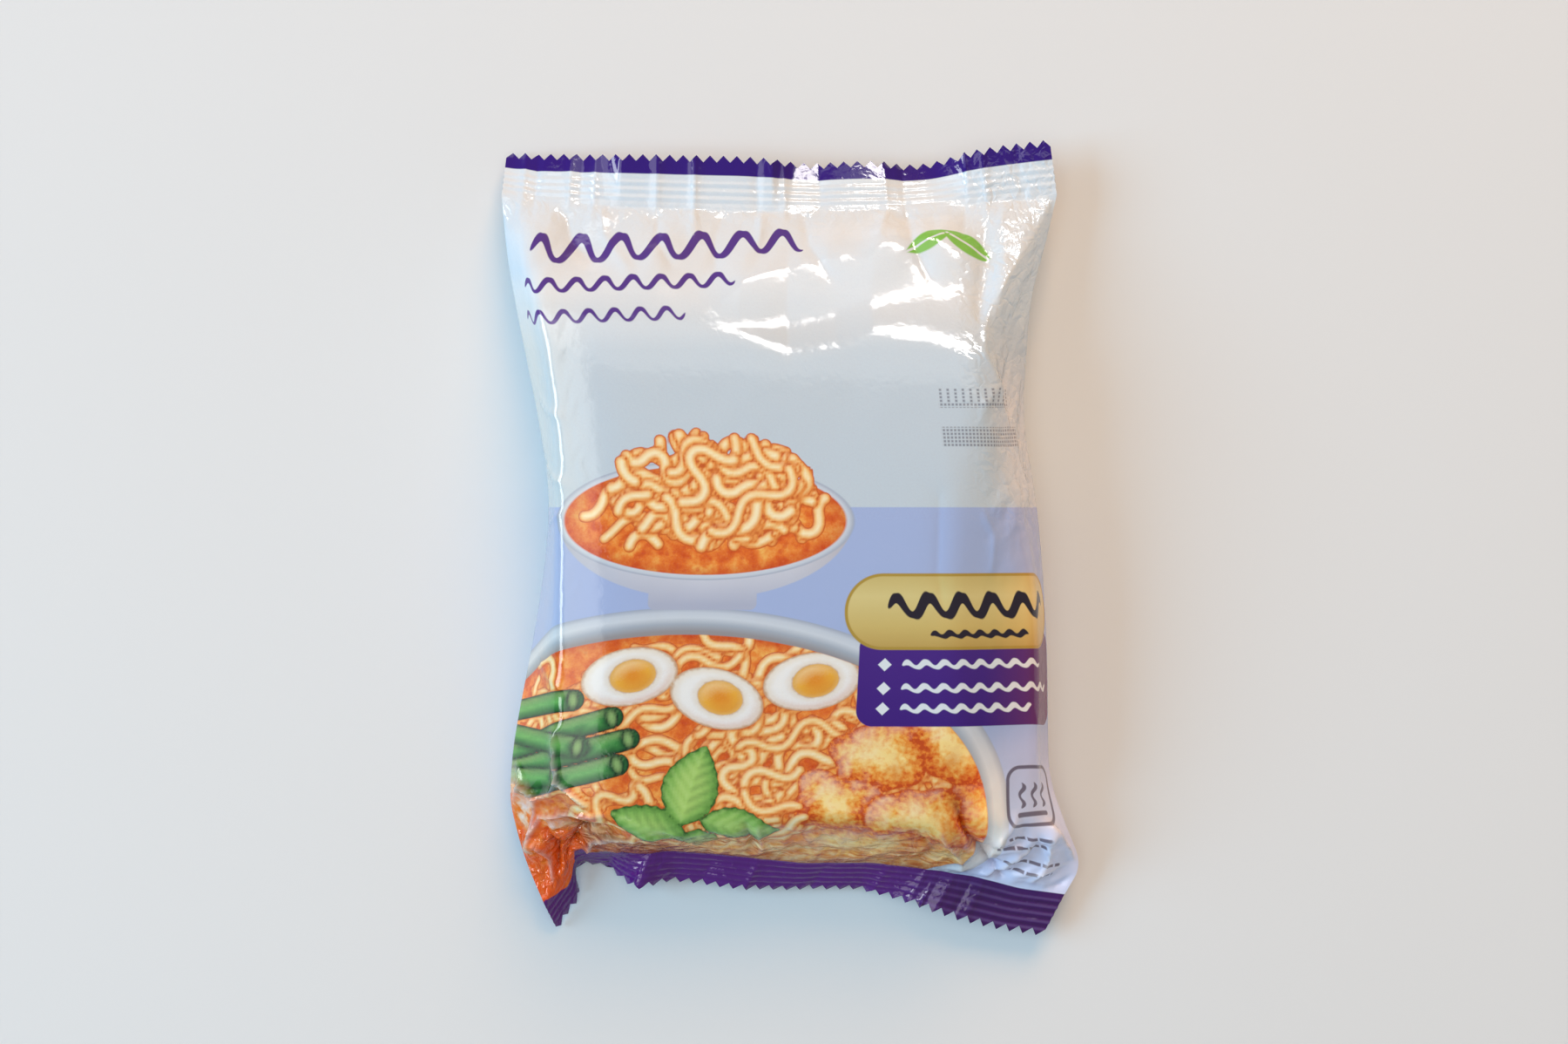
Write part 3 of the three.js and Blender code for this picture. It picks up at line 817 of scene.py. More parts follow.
# Each kind's reach from its edge to full colour, the grain in that, and its ramp from the edge inwards
FOOD_LOOKS = {
    "noodle": (1.4, 0.25, [
        (0, 204, 92, 32), (0.18, 237, 152, 72), (0.45, 250, 206, 134), (0.85, 255, 238, 194)]),
    "chunk": (6.5, 1.5, [
        (0, 200, 74, 14), (0.14, 228, 112, 30), (0.36, 242, 154, 58), (0.6, 249, 190, 96),
        (1, 255, 222, 142)]),
    "pale": (3, 0.25, [
        (0, 206, 168, 132), (0.15, 236, 226, 212), (0.5, 244, 242, 238), (1, 248, 246, 240)]),
    "yolk": (3, 0.25, [(0, 232, 178, 92), (0.3, 240, 176, 60), (1, 232, 146, 38)]),
    "stalk": (2.6, 0.25, [(0, 16, 46, 26), (0.16, 34, 92, 44), (0.5, 62, 136, 64), (1, 108, 178, 92)]),
    "leaf": (4, 0.5, [(0, 56, 96, 36), (0.1, 98, 150, 62), (0.4, 136, 186, 88), (1, 170, 208, 108)]),
}

BAND_TOP = 177.5
LILAC_TOP = 94.5
INK_SOFTNESS = 0.12
FOOD_SOFTNESS = 0.1
# Scales of the two nets of fine crumples
LARGE_CELLS = 0.26
SMALL_CELLS = 0.7
# Panels as (left, right, low, high, corner radius)
VIOLET_PANEL = (16, 66.4, 44.1, 66, 3.7)
GOLD_PANEL = (12.5, 66, 61.8, 79.4, 8.6)
GOLD_EDGE = 0.7
CODE_ROWS = [(36, 57, 117.4, 122), (36, 60, 108.4, 113)]
CODE_STRIPES = (-0.45, 0.45, -1.9, 1.9)
CODE_DOT = (-0.27, 0.27, -0.27, 0.27)
MARK_SQUARE = (50.2, 63.8, 20.6, 34.2, 3)
MARK_CUP = (52.6, 61.4, 22.6, 23.7, 0.5)
MARK_LINE = 0.42
# The back's panels as (left, right) and as (low, high), and how far their rules keep from them
BACK_COLUMNS = [(-58, -9), (9, 58)]
BACK_LOWER = (22, 88)
BACK_UPPER = (108, 150)
BACK_MARGIN = 5
# Wavy strokes as (left, right, middle, tilt, swing, pitch, half width)
TITLE = [
    (-57, 7, 157.2, 0.03, 3.1, 9.4, 0.95), (-58.5, -8, 147, 0.03, 1.5, 6.4, 0.62),
    (-59.5, -19, 138.8, 0.03, 1.35, 5.8, 0.48),
]
HEADING = [(22, 62.5, 71.8, 0, 1.9, 7.4, 1.05), (31.5, 55, 65.3, 0, 0.35, 3.6, 0.62)]
LIST_LINES = [
    (25.5, right, middle, 0, 0.55, 4.2, 0.55) for right, middle in ((59, 58.4), (64, 52.9), (56, 48.2))
]
LIST_DIAMOND_U = 21.7
WISPS = [(24.6, 30.6, middle, 0, 0.55, 4, 0.42) for middle in (53.8, 57, 60.2)]
# Rules under the square mark as (middle, left, right)
RULES = [(17, 50, 60), (14, 47, 59), (8.6, 48, 62), (5.6, 50, 61)]
# A pair of leaves as (centre, slope)
LEAF_PAIR = [(36, 0.55), (45.2, -0.55)]
LEAF_HEIGHT = 158
LEAF_COSINE = 0.876


def ink(edge, softness=INK_SOFTNESS):
    """A mask that is one inside an edge."""
    return (0.5 - edge * (0.5 / softness)).held()


def block(u, v, left, right, low, high, radius=0.0):
    """Distance outside a rounded rectangle."""
    over_u = abs(u - (left + right) / 2) - ((right - left) / 2 - radius)
    over_v = abs(v - (low + high) / 2) - ((high - low) / 2 - radius)
    outside = (over_u.most(0) ** 2 + over_v.most(0) ** 2).sqrt()
    return outside + over_u.most(over_v).least(0) - radius


def ring(u, v, centre_u, centre_v, radius_u, radius_v):
    """Rough distance outside an ellipse."""
    reach = (((u - centre_u) / radius_u) ** 2 + ((v - centre_v) / radius_v) ** 2).sqrt()
    return (reach - 1) * min(radius_u, radius_v)


def wave(u, v, left, right, middle, tilt, swing, pitch, width):
    """Distance outside a wavy stroke that is thick and thin by turns."""
    turn = (u - left) * (math.tau / pitch)
    centre = (u - left) * tilt + turn.sin() * swing + middle
    slope = turn.cos() * (swing * math.tau / pitch) + tilt
    along = (right - left) / 2 - abs(u - (left + right) / 2)
    half = ((turn + 0.9).sin() * (width * 0.35) + width) * (along * (0.5 / width)).held().sqrt()
    return (abs(v - centre) / (slope * slope + 1).sqrt() - half).most(-along)


def together(edges):
    """Distance outside all of several shapes."""
    nearest, *others = edges
    for edge in others:
        nearest = nearest.least(edge)
    return nearest


class FilmPrint:
    """The print on one side of the film, laid down colour by colour from the paper up."""

    def __init__(self, finish, u, v):
        self.finish, self.u, self.v = finish, u, v
        self.place = finish.join(u, v, 0)
        self.colour = WHITE

    def over(self, mask, colour):
        """Lays a colour over the print where the mask is one."""
        self.colour = self.finish.lay(mask, self.colour, colour)

    def fill(self, edge, colour):
        """Lays a colour over the print inside an edge."""
        self.over(ink(edge), colour)

    def tint(self, mask, factors):
        """Multiplies the print's colours where the mask is one."""
        self.over(mask, self.finish.vector("MULTIPLY", self.colour, factors))


def front_print(finish, u, v):
    """The colours of the printed front."""
    sheet = FilmPrint(finish, u, v)
    sheet.over(finish.noise(sheet.place, 0.35, 3.0), WARM_WHITE)
    # Painted shade: the white is darker and greyer from the upper slope downwards
    sheet.over(1 - v.step(131, 146), WHITE_IN_PAINTED_SHADE)
    sheet.fill(v - LILAC_TOP, LILAC)
    big_bowl(sheet)
    small_bowl(sheet)
    food(sheet)
    crusty_foot(sheet)
    labels(sheet)
    marks(sheet)
    # Painted light: the print is lightened and warmed over the left slope and the left wall, most on the
    # outer wall
    middle = v.step(20, 40) * (1 - v.step(132, 152))
    left = (1 - u.step(-54, -40)) * middle
    sheet.tint(left, (1.1, 1.04, 0.93))
    sheet.tint(left * v.step(94, 110), (1.08, 1.05, 1.04))
    sheet.tint((1 - u.step(-60, -52)) * middle, (1.22, 1.06, 0.96))
    # Painted light: the right slope is lightened and warmed as if lit by the warm lamp
    sheet.tint(u.step(46, 56) * v.step(24, 40) * (1 - v.step(118, 140)), (1.28, 1.1, 1.03))
    # Painted light: the flared lower right corner, which lies in shade, is strongly lightened
    sheet.tint(u.step(38, 48) * (1 - v.step(26, 44)), (1.95, 1.6, 1.3))
    ends(sheet)
    # The folds' crests are lightened for stress whitening and a painted highlight, and their valleys
    # darkened as painted shade
    crease_light_and_shade = finish.attribute("crease_light_and_shade")
    sheet.over((crease_light_and_shade * 0.42).held(), CREST_WHITENING_AND_HIGHLIGHT)
    sheet.tint((crease_light_and_shade * -0.5).held(), (0.4, 0.26, 0.3))
    return sheet.colour


def china(sheet, edge, width):
    """Glazed china inside an edge, a little darker towards it."""
    sheet.fill(edge, sheet.finish.ramp((edge * (-1 / width)).held(), CHINA))


def broth(sheet, edge):
    """Orange broth inside an edge, with oil drops, darker where it meets the china."""
    finish = sheet.finish
    body = finish.ramp(finish.noise(sheet.place, 0.22, 4.0, 0.6), BROTH)
    oil = (0.32 - finish.cells(sheet.place, 0.45)) * 6
    body = finish.lay(oil.held() * 0.4, body, OIL)
    sheet.fill(edge, finish.lay(edge.step(-2.2, 0) * 0.55, body, BROTH_EDGE))


def big_bowl(sheet):
    china(sheet, ring(sheet.u, sheet.v, *BOWL), BOWL_RIM)
    broth(sheet, ring(sheet.u, sheet.v, *BOWL_INSIDE))


def small_bowl(sheet):
    finish, u, v = sheet.finish, sheet.u, sheet.v
    centre_u, centre_v, radius_u, radius_v = SMALL_BOWL
    body = ring(u, v, centre_u, centre_v + 1, radius_u + 1.5, 19).most(v - centre_v)
    foot = block(u, v, centre_u - 12, centre_u + 12, centre_v - 20.5, centre_v - 15, 1.5)
    glaze = finish.ramp(u.step(centre_u - radius_u, centre_u + radius_u), CHINA_SIDE)
    deep = ((centre_v - 6 - v) * 0.075).held()
    sheet.fill(body.least(foot), finish.lay(deep, glaze, CHINA_SHADOW))
    china(sheet, ring(u, v, centre_u, centre_v, radius_u + 1.8, radius_v + 1.2), 2.4)
    broth(sheet, ring(u, v, *SMALL_BOWL))


def food(sheet):
    """The painted filling: each kind is coloured by its depth inside its outline, then lit."""
    finish, u, v = sheet.finish, sheet.u, sheet.v
    upper = v.above(70)
    in_small = ink(ring(u, v, *SMALL_BOWL).least(SMALL_BOWL[1] - v)) * upper
    inside = ink(ring(u, v, *BOWL_INSIDE)) * (1 - upper) + in_small
    mottle = finish.noise(sheet.place, 0.8, 3.0) - 0.5
    for kind, (reach, grain, stops) in FOOD_LOOKS.items():
        depth = finish.attribute(kind)
        share = (depth * (1 / reach) + mottle * grain).held()
        sheet.over(ink(-depth - 0.12, FOOD_SOFTNESS) * inside, finish.ramp(share, stops))
    green = ink(together([-finish.attribute(kind) for kind in ("stalk", "leaf")]), FOOD_SOFTNESS)
    light = (finish.attribute("lit") + (finish.noise(sheet.place, 2.2) - 0.5) * 0.35) * inside
    sheet.over((light * 0.42).held(), finish.lay(green, *FOOD_LIGHT))
    sheet.over((light * -0.4).held(), finish.lay(green, *FOOD_SHADE))


def crusty_foot(sheet):
    """The filling's foot on the end wall and the ear: streaks, a painted shade line along the lower seal,
    painted sheen patches on the ear and a painted shadow in a fold's hollow.
    """
    finish, u, v = sheet.finish, sheet.u, sheet.v
    in_big = ink(ring(u, v, *BOWL_INSIDE))
    streaks = finish.noise(finish.join(u * 0.5, v * 2.6, 3), 0.5, 3.0)
    sheet.over((1 - v.step(6, 17)) * in_big * 0.65, finish.ramp(streaks, STREAKS))
    # Painted shade along the fold at the lower seal's inner line
    sheet.over((1 - v.step(0.5, 4)) * in_big * 0.7, SEAL_LINE_SHADE)
    # The ear: its deep orange print, with whitish patches of painted sheen that grow more frequent higher
    # up
    ear = (1 - (u * 0.6 + v * 0.8).step(-22, -12)) * in_big
    orange_to_sheen = finish.noise(sheet.place, 0.2, 3.0) + (v - 19) * 0.011
    mottle = (finish.noise(sheet.place, 0.8, 3.0) * 0.8 + 0.55).held()
    sheet.over(ear * mottle, finish.ramp(orange_to_sheen, EAR_ORANGE_AND_SHEEN))
    # Painted shadow in the fold's hollow between the ear and the end wall
    hollow_shadow = u.step(-51, -46) * (1 - (v + (u + 43) * 0.72).step(16, 22)) * in_big
    sheet.over(hollow_shadow * 0.8, finish.ramp(streaks, HOLLOW_SHADOW))


def labels(sheet):
    """The violet and gold panels, the title's strokes, a pair of leaves and two rows of dots."""
    finish, u, v = sheet.finish, sheet.u, sheet.v
    # Painted light: the panel's violet is lighter towards its top and warmer at its right end
    violet = finish.lay(v.step(44, 64), VIOLET, PANEL_VIOLET_LIGHTS[0])
    sheet.fill(block(u, v, *VIOLET_PANEL), finish.lay(u.step(44, 60), violet, PANEL_VIOLET_LIGHTS[1]))
    gold = block(u, v, *GOLD_PANEL)
    sheet.fill(gold, GOLD_SHADE)
    sheet.fill(gold + GOLD_EDGE, finish.ramp(v.step(GOLD_PANEL[2], GOLD_PANEL[3]), GOLD))
    for line in LIST_LINES:
        sheet.fill(abs(u - LIST_DIAMOND_U) + abs(v - line[2]) - 1.5, WHITE)
        sheet.fill(wave(u, v, *line), WHITE)
    sheet.fill(together([wave(u, v, *stroke) for stroke in HEADING]), DARK_INK)
    sheet.fill(together([wave(u, v, *stroke) for stroke in TITLE]), TITLE_INK)
    for centre, slope in LEAF_PAIR:
        rise = slope * LEAF_COSINE
        along = (u - centre) * LEAF_COSINE + (v - LEAF_HEIGHT) * rise
        beside = abs((v - LEAF_HEIGHT) * LEAF_COSINE - (u - centre) * rise)
        outline = ((along / 6.4) ** 2 + beside / 2.6).sqrt() - 1
        sheet.fill((outline * 3).most(0.28 - beside), LEAF_INK)
    rows = together([block(u, v, *row) for row in CODE_ROWS])
    stripes = block(u.tiled(1.7), (v - 120.4).tiled(100), *CODE_STRIPES)
    dots = block(u.tiled(0.85), v.tiled(0.85), *CODE_DOT)
    sheet.over(ink(rows) * ink(dots) * (1 - ink(stripes)) * 0.8, GREY_INK)


def marks(sheet):
    """A plain square with a cup and three rising wisps, and a few short rules under it."""
    u, v = sheet.u, sheet.v
    square = abs(block(u, v, *MARK_SQUARE)) - MARK_LINE
    wisps = [wave(v, u, *wisp) for wisp in WISPS]
    rules = together([
        block(u, v, left, right, middle - MARK_LINE, middle + MARK_LINE, 0.3)
        for middle, left, right in RULES])
    gaps = block(u.tiled(3.1), v * 0, -1.3, 1.3, -1, 1)
    drawn = together([square, block(u, v, *MARK_CUP), *wisps, rules.most(gaps)])
    sheet.over(ink(drawn) * 0.85, MARK_INK)


def ends(sheet):
    """The violet bands along both saw edges, the lower one with its ribs in painted highlight and shade."""
    finish, u, v = sheet.finish, sheet.u, sheet.v
    sheet.fill(BAND_TOP - v, TOP_VIOLET)
    folded = u.step(-66, -59) * (1 - u.above(-52)) * 3.5
    deep = finish.lay(u.step(26, 46), *END_VIOLETS)
    # The lower seal's ribs: painted highlight on their crests and painted shade in their grooves
    rib = (v * (math.tau / RIB_PITCH)).sin() * (1 - v.step(-1.2, -0.6)) * (u.step(20, 56) * 0.85 + 0.15)
    deep = finish.lay((rib * 0.17).held(), deep, RIB_CREST_HIGHLIGHT)
    deep = finish.lay((rib * -0.4).held(), deep, RIB_GROOVE_SHADE)
    sheet.fill(v + folded - 0.3, deep)


def ruled(u, v, left, right, panel, pitch, half_width):
    """A mask of level rules between the top and the foot of a panel on the back."""
    area = block(u, v, left, right, panel[0] + BACK_MARGIN, panel[1] - BACK_MARGIN)
    return ink(area.most(v.tiled(pitch) - half_width))


def back_print(finish, u, v):
    """The back's four plain panels of rules on the same fields of colour as the front's."""
    sheet = FilmPrint(finish, u, v)
    x = u - u.sign() * FLAT_WIDTH
    sheet.fill(v - LILAC_TOP, LILAC)
    for left, right in BACK_COLUMNS:
        start, end = left + BACK_MARGIN, right - BACK_MARGIN
        sheet.fill(block(x, v, left, right, *BACK_LOWER, 3), PANEL_GREY)
        sheet.over(ruled(x, v, start, end, BACK_LOWER, 4.4, 0.45) * 0.7, GREY_INK)
        sheet.fill(abs(block(x, v, left, right, *BACK_UPPER, 3)) - 0.4, VIOLET)
        sheet.over(ruled(x, v, start, end - 3, BACK_UPPER, 5.2, 0.6) * 0.8, VIOLET)
    ends(sheet)
    return sheet.colour


def film_height(finish, u, v, back, place):
    """Fine relief in millimetres: orange peel all over, and crumples in the end wall, corners and seals."""
    swing = finish.vector("SUBTRACT", finish.noise(place, 0.3, 1.0, out=1), (0.5, 0.5, 0.5))
    bent = finish.vector("ADD", place, finish.vector("SCALE", swing, Scale=4))
    large, small = (finish.cells(bent, scale, "DISTANCE_TO_EDGE") for scale in (LARGE_CELLS, SMALL_CELLS))
    wall = (1 - v.step(10, 23)) * (1 - u.step(34, 46) * v.step(-1, 1)) * (v.step(-0.5, 1) * 0.7 + 0.3)
    wall = wall * (1 - u.step(-34, -22) * 0.55)
    side = u.step(40, 50) * v.step(84, 100) * 0.3
    top = v.step(156, 168) * (1 - v.step(169, 171) * 0.7) * 0.16
    front = wall.most(top).most(side) + 0.03
    share = front + back * (0.05 - front)
    peel = finish.noise(place, 0.6, 3.0)
    return (large * (0.36 / LARGE_CELLS) + small * (0.2 / SMALL_CELLS)) * share + peel * 0.03


def film_finish():
    """The printed film's material, which its seals and the fin share."""
    finish = Finish("printed film", {"Specular IOR Level": 0.6, "IOR": 1.5})
    u, v, back = (finish.attribute(name) for name in ("film_u", "film_v", "film_back"))
    prints = front_print(finish, u, v), back_print(finish, u, v)
    finish.vary("Base Color", finish.lay(back.above(0.5), *prints))
    place = finish.join(u, v, back * 40)
    finish.vary("Roughness", finish.noise(place, 0.12, 3.0) * 0.08 + 0.07)
    height = film_height(finish, u, v, back, place)
    bump = finish.node("ShaderNodeBump", {"Strength": 1.0, "Distance": MM, "Height": height})
    finish.vary("Normal", bump)
    return finish.material


def length_size(name, description, default):
    """A length that the panel shows, with its default in millimetres."""
    return FloatProperty(name=name, description=description, default=default * MM, unit="LENGTH")


class FilmSizes(bpy.types.PropertyGroup):
    tooth_count: IntProperty(name="Teeth", description="Teeth along each saw edge", default=41, min=5)
    tooth_height: length_size("Tooth height", "Height of a tooth", 1.6)
    top_seal_depth: length_size("Top seal", "Depth of the upper seal with its teeth", 12.5)
    bottom_seal_depth: length_size("Bottom seal", "Depth of the lower seal with its teeth", 9.8)
    seal_thickness: length_size("Seal thickness", "Thickness of both films together", 0.35)
    rib_pitch: length_size("Rib pitch", "Distance between the ribs of a seal", RIB_PITCH)
    rib_height: length_size("Rib height", "Height of the ribs of a seal", 0.13)
    picture_row: length_size("Picture row", "Mesh row spacing where the picture lies", 0.66)
    plain_row: length_size("Plain row", "Mesh row spacing elsewhere", 0.9)
    seal_row: length_size("Seal row", "Mesh row spacing across the seals", 0.44)
    fin_width: length_size("Fin width", "Width of the seal along the back", 10.5)
    fin_thickness: length_size("Fin thickness", "Thickness of the seal along the back", 0.22)
    fin_rib_pitch: length_size("Fin rib pitch", "Distance between the fin's ribs", 2.1)
    fin_rib_height: length_size("Fin rib height", "Height of the fin's ribs", 0.05)


class StageSettings(bpy.types.PropertyGroup):
    camera_height: length_size("Camera height", "Height of the camera over the surface", 600)
    view_width: length_size("View width", "Width of surface that the camera sees", 377.1)
    floor_colour: FloatVectorProperty(
        name="Surface", description="Colour of the surface", default=(0.79, 0.8, 0.795), subtype="COLOR",
        min=0, max=1)


def row_places(sizes):
    """Places of the body's rows, closer together where the picture lies, and their way along the film."""
    fine = np.linspace(0, SPANS, LENGTH_SAMPLES)
    film = along_columns(front_stations(SAMPLE_COLUMNS), fine)
    steps = np.linalg.norm(np.diff(film, axis=0), axis=2).mean(axis=1)
    reach = np.concatenate([[0], np.cumsum(steps)])
    spacing = np.where(reach < PICTURE_TOP, sizes.picture_row / MM, sizes.plain_row / MM)
    density = np.concatenate([[0], np.cumsum(steps / spacing[1:])])
    rows = int(round(density[-1]))
    places = np.interp(np.linspace(0, density[-1], rows + 1), density, fine)
    return places, np.interp(places, fine, reach)


def seal_rows(seal_line, saw_line, depth, sizes, per_tooth):
    """Rows of a seal from its inner line outwards, with the teeth as the last one, and their depths."""
    tooth = sizes.tooth_height / MM
    root = depth - tooth - TOOTH_ROOT_GAP
    count = int(round(root / (sizes.seal_row / MM)))
    saw = hang(seal_line, saw_line, depth)
    phase = np.arange(len(seal_line)) % per_tooth / per_tooth
    teeth = depth - tooth + tooth * (1 - np.abs(2 * phase - 1))
    depths = [np.full(len(seal_line), root * row / count) for row in range(1, count + 1)] + [teeth]
    rows = [seal_line + (saw - seal_line) * reach[:, None] / depth for reach in depths]
    return np.array(rows), np.array(depths)


def film_side(sizes, per_tooth, back, places, lengths):
    """The film of one side: its points, and for each point its place on the flat film."""
    steps = sizes.tooth_count * per_tooth
    stations = back_stations(steps) if back else front_stations(steps)
    body = along_columns(stations, places)
    if not back:
        fade = np.clip(np.minimum(places, SPANS - places), 0, 1)[:, None]
        column = np.arange(steps + 1)
        side = np.clip(np.minimum(column, steps - column) / (2 * per_tooth), 0, 1)
        body[:, :, 2] += pucker_height(body[:, :, 0], body[:, :, 1]) * fade * side
    (bottom, bottom_depth), (top, top_depth) = (
        seal_rows(line, across(saw, reach, steps), depth / MM, sizes, per_tooth)
        for line, saw, depth, reach in (
            (stations[0], BOTTOM_SAW, sizes.bottom_seal_depth, END_FOLD_RADIUS),
            (stations[-1], TOP_SAW, sizes.top_seal_depth, CREASE_RADIUS * 2),
        ))
    grid = np.concatenate([bottom[::-1], body, top])
    body_v = np.repeat(lengths[:, None], steps + 1, axis=1)
    film_v = np.concatenate([-bottom_depth[::-1], body_v, lengths[-1] + top_depth])
    flat_u = (np.linspace(0, 1, steps + 1) - 0.5) * FLAT_WIDTH
    return grid, np.broadcast_to(flat_u, film_v.shape).copy(), film_v


def crumpled(grid, u, v, length, apart=None):
    """The film with its pleats, folds and crumples raised along its normals. The back, for which the two
    films' distance apart is given, follows the front where that is small."""
    top, bottom = seal_relief(u, v, length)
    edge = smooth(FLAT_WIDTH / 2 - np.abs(u), 0, 2.5)
    height = (top + bottom) * (0.3 + 0.7 * edge)
    normals = surface_normals(grid)
    if apart is None:
        slope = normals[:, :, 1] / np.maximum(normals[:, :, 2], 0.2)
        height += front_relief(u, v) * edge + upper_waves(u, v, slope)
    else:
        height *= 1 - smooth(v, 0, 3) * (1 - smooth(v, length - 3, length))
        height += front_relief(u, v) * edge * (1 - smooth(apart, 1.5, 9))
    moved = grid + normals * height[:, :, None]
    moved[:, :, 2] = np.maximum(moved[:, :, 2], LOWEST_EDGE if apart is None else LOWEST_BACK)
    return moved


def both_sheets(sizes):
    """The front and the back film with their places on the flat film, and the body's length along it."""
    places, lengths = row_places(sizes)
    front, front_u, front_v = film_side(sizes, FRONT_PER_TOOTH, False, places, lengths)
    back, back_u, back_v = film_side(sizes, BACK_PER_TOOTH, True, places, lengths)
    apart = front[:, ::FRONT_PER_TOOTH // BACK_PER_TOOTH, 2] - back[:, :, 2]
    front = crumpled(front, front_u, front_v, lengths[-1])
    back = crumpled(back, back_u, back_v, lengths[-1], apart)
    front[:, :, 2] += sizes.seal_thickness / MM
    return (front, front_u, front_v), (back, back_u, back_v), lengths[-1]


def grid_faces(rows, columns, first, flip):
    """The index of each vertex of a grid, and the grid's quads as rows of four numbers."""
    index = first + np.arange(rows * columns).reshape(rows, columns)
    corners = [index[:-1, :-1], index[:-1, 1:], index[1:, 1:], index[1:, :-1]]
    quads = np.stack(corners, axis=-1).reshape(-1, 4)
    return index, quads[:, ::-1] if flip else quads


def cut_edge(front, back, ratio, flip):
    """Faces between the front's edge and the back's coarser one, one for each step of the back."""
    faces = []
    for step in range(len(back) - 1):
        many = front[step * ratio:(step + 1) * ratio + 1]
        outline = [*many, back[step + 1], back[step]]
        faces.append(outline[::-1] if flip else outline)
    return faces


def read_values(collection, name, width=1, kind=np.int32):
    """One attribute of all of a mesh's vertices, corners or faces."""
    values = np.zeros(len(collection) * width, dtype=kind)
    collection.foreach_get(name, values)
    return values.reshape(-1, width) if width > 1 else values


def add_bake_map(mesh, across_map, up_map):
    flat = np.stack([across_map, up_map], axis=1).astype(np.float32)
    mesh.uv_layers.new(name="OFBake").uv.foreach_set("vector", flat.ravel())


def lay_flat(mesh, u, v, film_faces, back):
    """The bake's map: front and back side by side, and the thin cut edges in a strip of their own."""
    corners = read_values(mesh.loops, "vertex_index")
    across_map = ((np.where(back > 0.5, MAP_BACK, MAP_FRONT) + u) / MAP_WIDTH)[corners]
    up_map = ((v + MAP_FOOT) / MAP_HEIGHT)[corners]
    first_thin = read_values(mesh.polygons, "loop_start")[film_faces]
    across_map[first_thin:] = 0.5 + 0.002 * (back[corners[first_thin:]] - 0.5)
    add_bake_map(mesh, across_map, up_map)


def point_values(mesh, values):
    """Gives a mesh named numbers, one for each vertex."""
    for name, numbers in values.items():
        layer = mesh.attributes.new(name, "FLOAT", "POINT")
        layer.data.foreach_set("value", np.asarray(numbers, dtype=np.float32).ravel())


def build_film(sizes):
    """The pouch as one closed mesh, and the body's length along the film."""
    (front, front_u, front_v), (back, back_u, back_v), length = both_sheets(sizes)
    front_index, front_quads = grid_faces(*front.shape[:2], 0, False)
    back_index, back_quads = grid_faces(*back.shape[:2], front_index.size, True)
    sides = []
    for column, flip in ((0, False), (-1, True)):
        a, b = front_index[:, column], back_index[:, column]
        quads = np.stack([b[:-1], a[:-1], a[1:], b[1:]], axis=1)
        sides.append(quads[:, ::-1] if flip else quads)
    ratio = FRONT_PER_TOOTH // BACK_PER_TOOTH
    cut = cut_edge(front_index[0], back_index[0], ratio, True)
    cut += cut_edge(front_index[-1], back_index[-1], ratio, False)
    vertices = np.concatenate([front.reshape(-1, 3), back.reshape(-1, 3)]) * MM
    faces = np.concatenate([front_quads, back_quads, *sides]).tolist() + cut
    mesh = bpy.data.meshes.new("film")
    mesh.from_pydata(vertices.tolist(), [], faces)

    def joined(on_front, on_back):
        return np.concatenate([on_front.ravel(), np.broadcast_to(on_back, back_u.shape).ravel()])

    side = joined(np.zeros(front_u.shape), 1.0)
    film_v = joined(front_v, back_v)
    lay_flat(mesh, joined(front_u, back_u), film_v, len(front_quads) + len(back_quads), side)
    wrapped_u = np.where(back_u > 0, FLAT_WIDTH, -FLAT_WIDTH) - back_u
    picture = paint_food(front_u, front_v)
    point_values(mesh, {
        "film_u": joined(front_u, wrapped_u),
        "film_v": film_v,
        "film_back": side,
        "lit": joined(picture.lit, 0.0),
        "crease_light_and_shade": joined(painted_crease_lines(front_u, front_v), 0.0),
        **{kind: joined(depth, HIDDEN) for kind, depth in picture.depth.items()},
    })
    mesh.polygons.foreach_set("use_smooth", np.ones(len(mesh.polygons), dtype=bool))
    mesh.update()
    return mesh, length


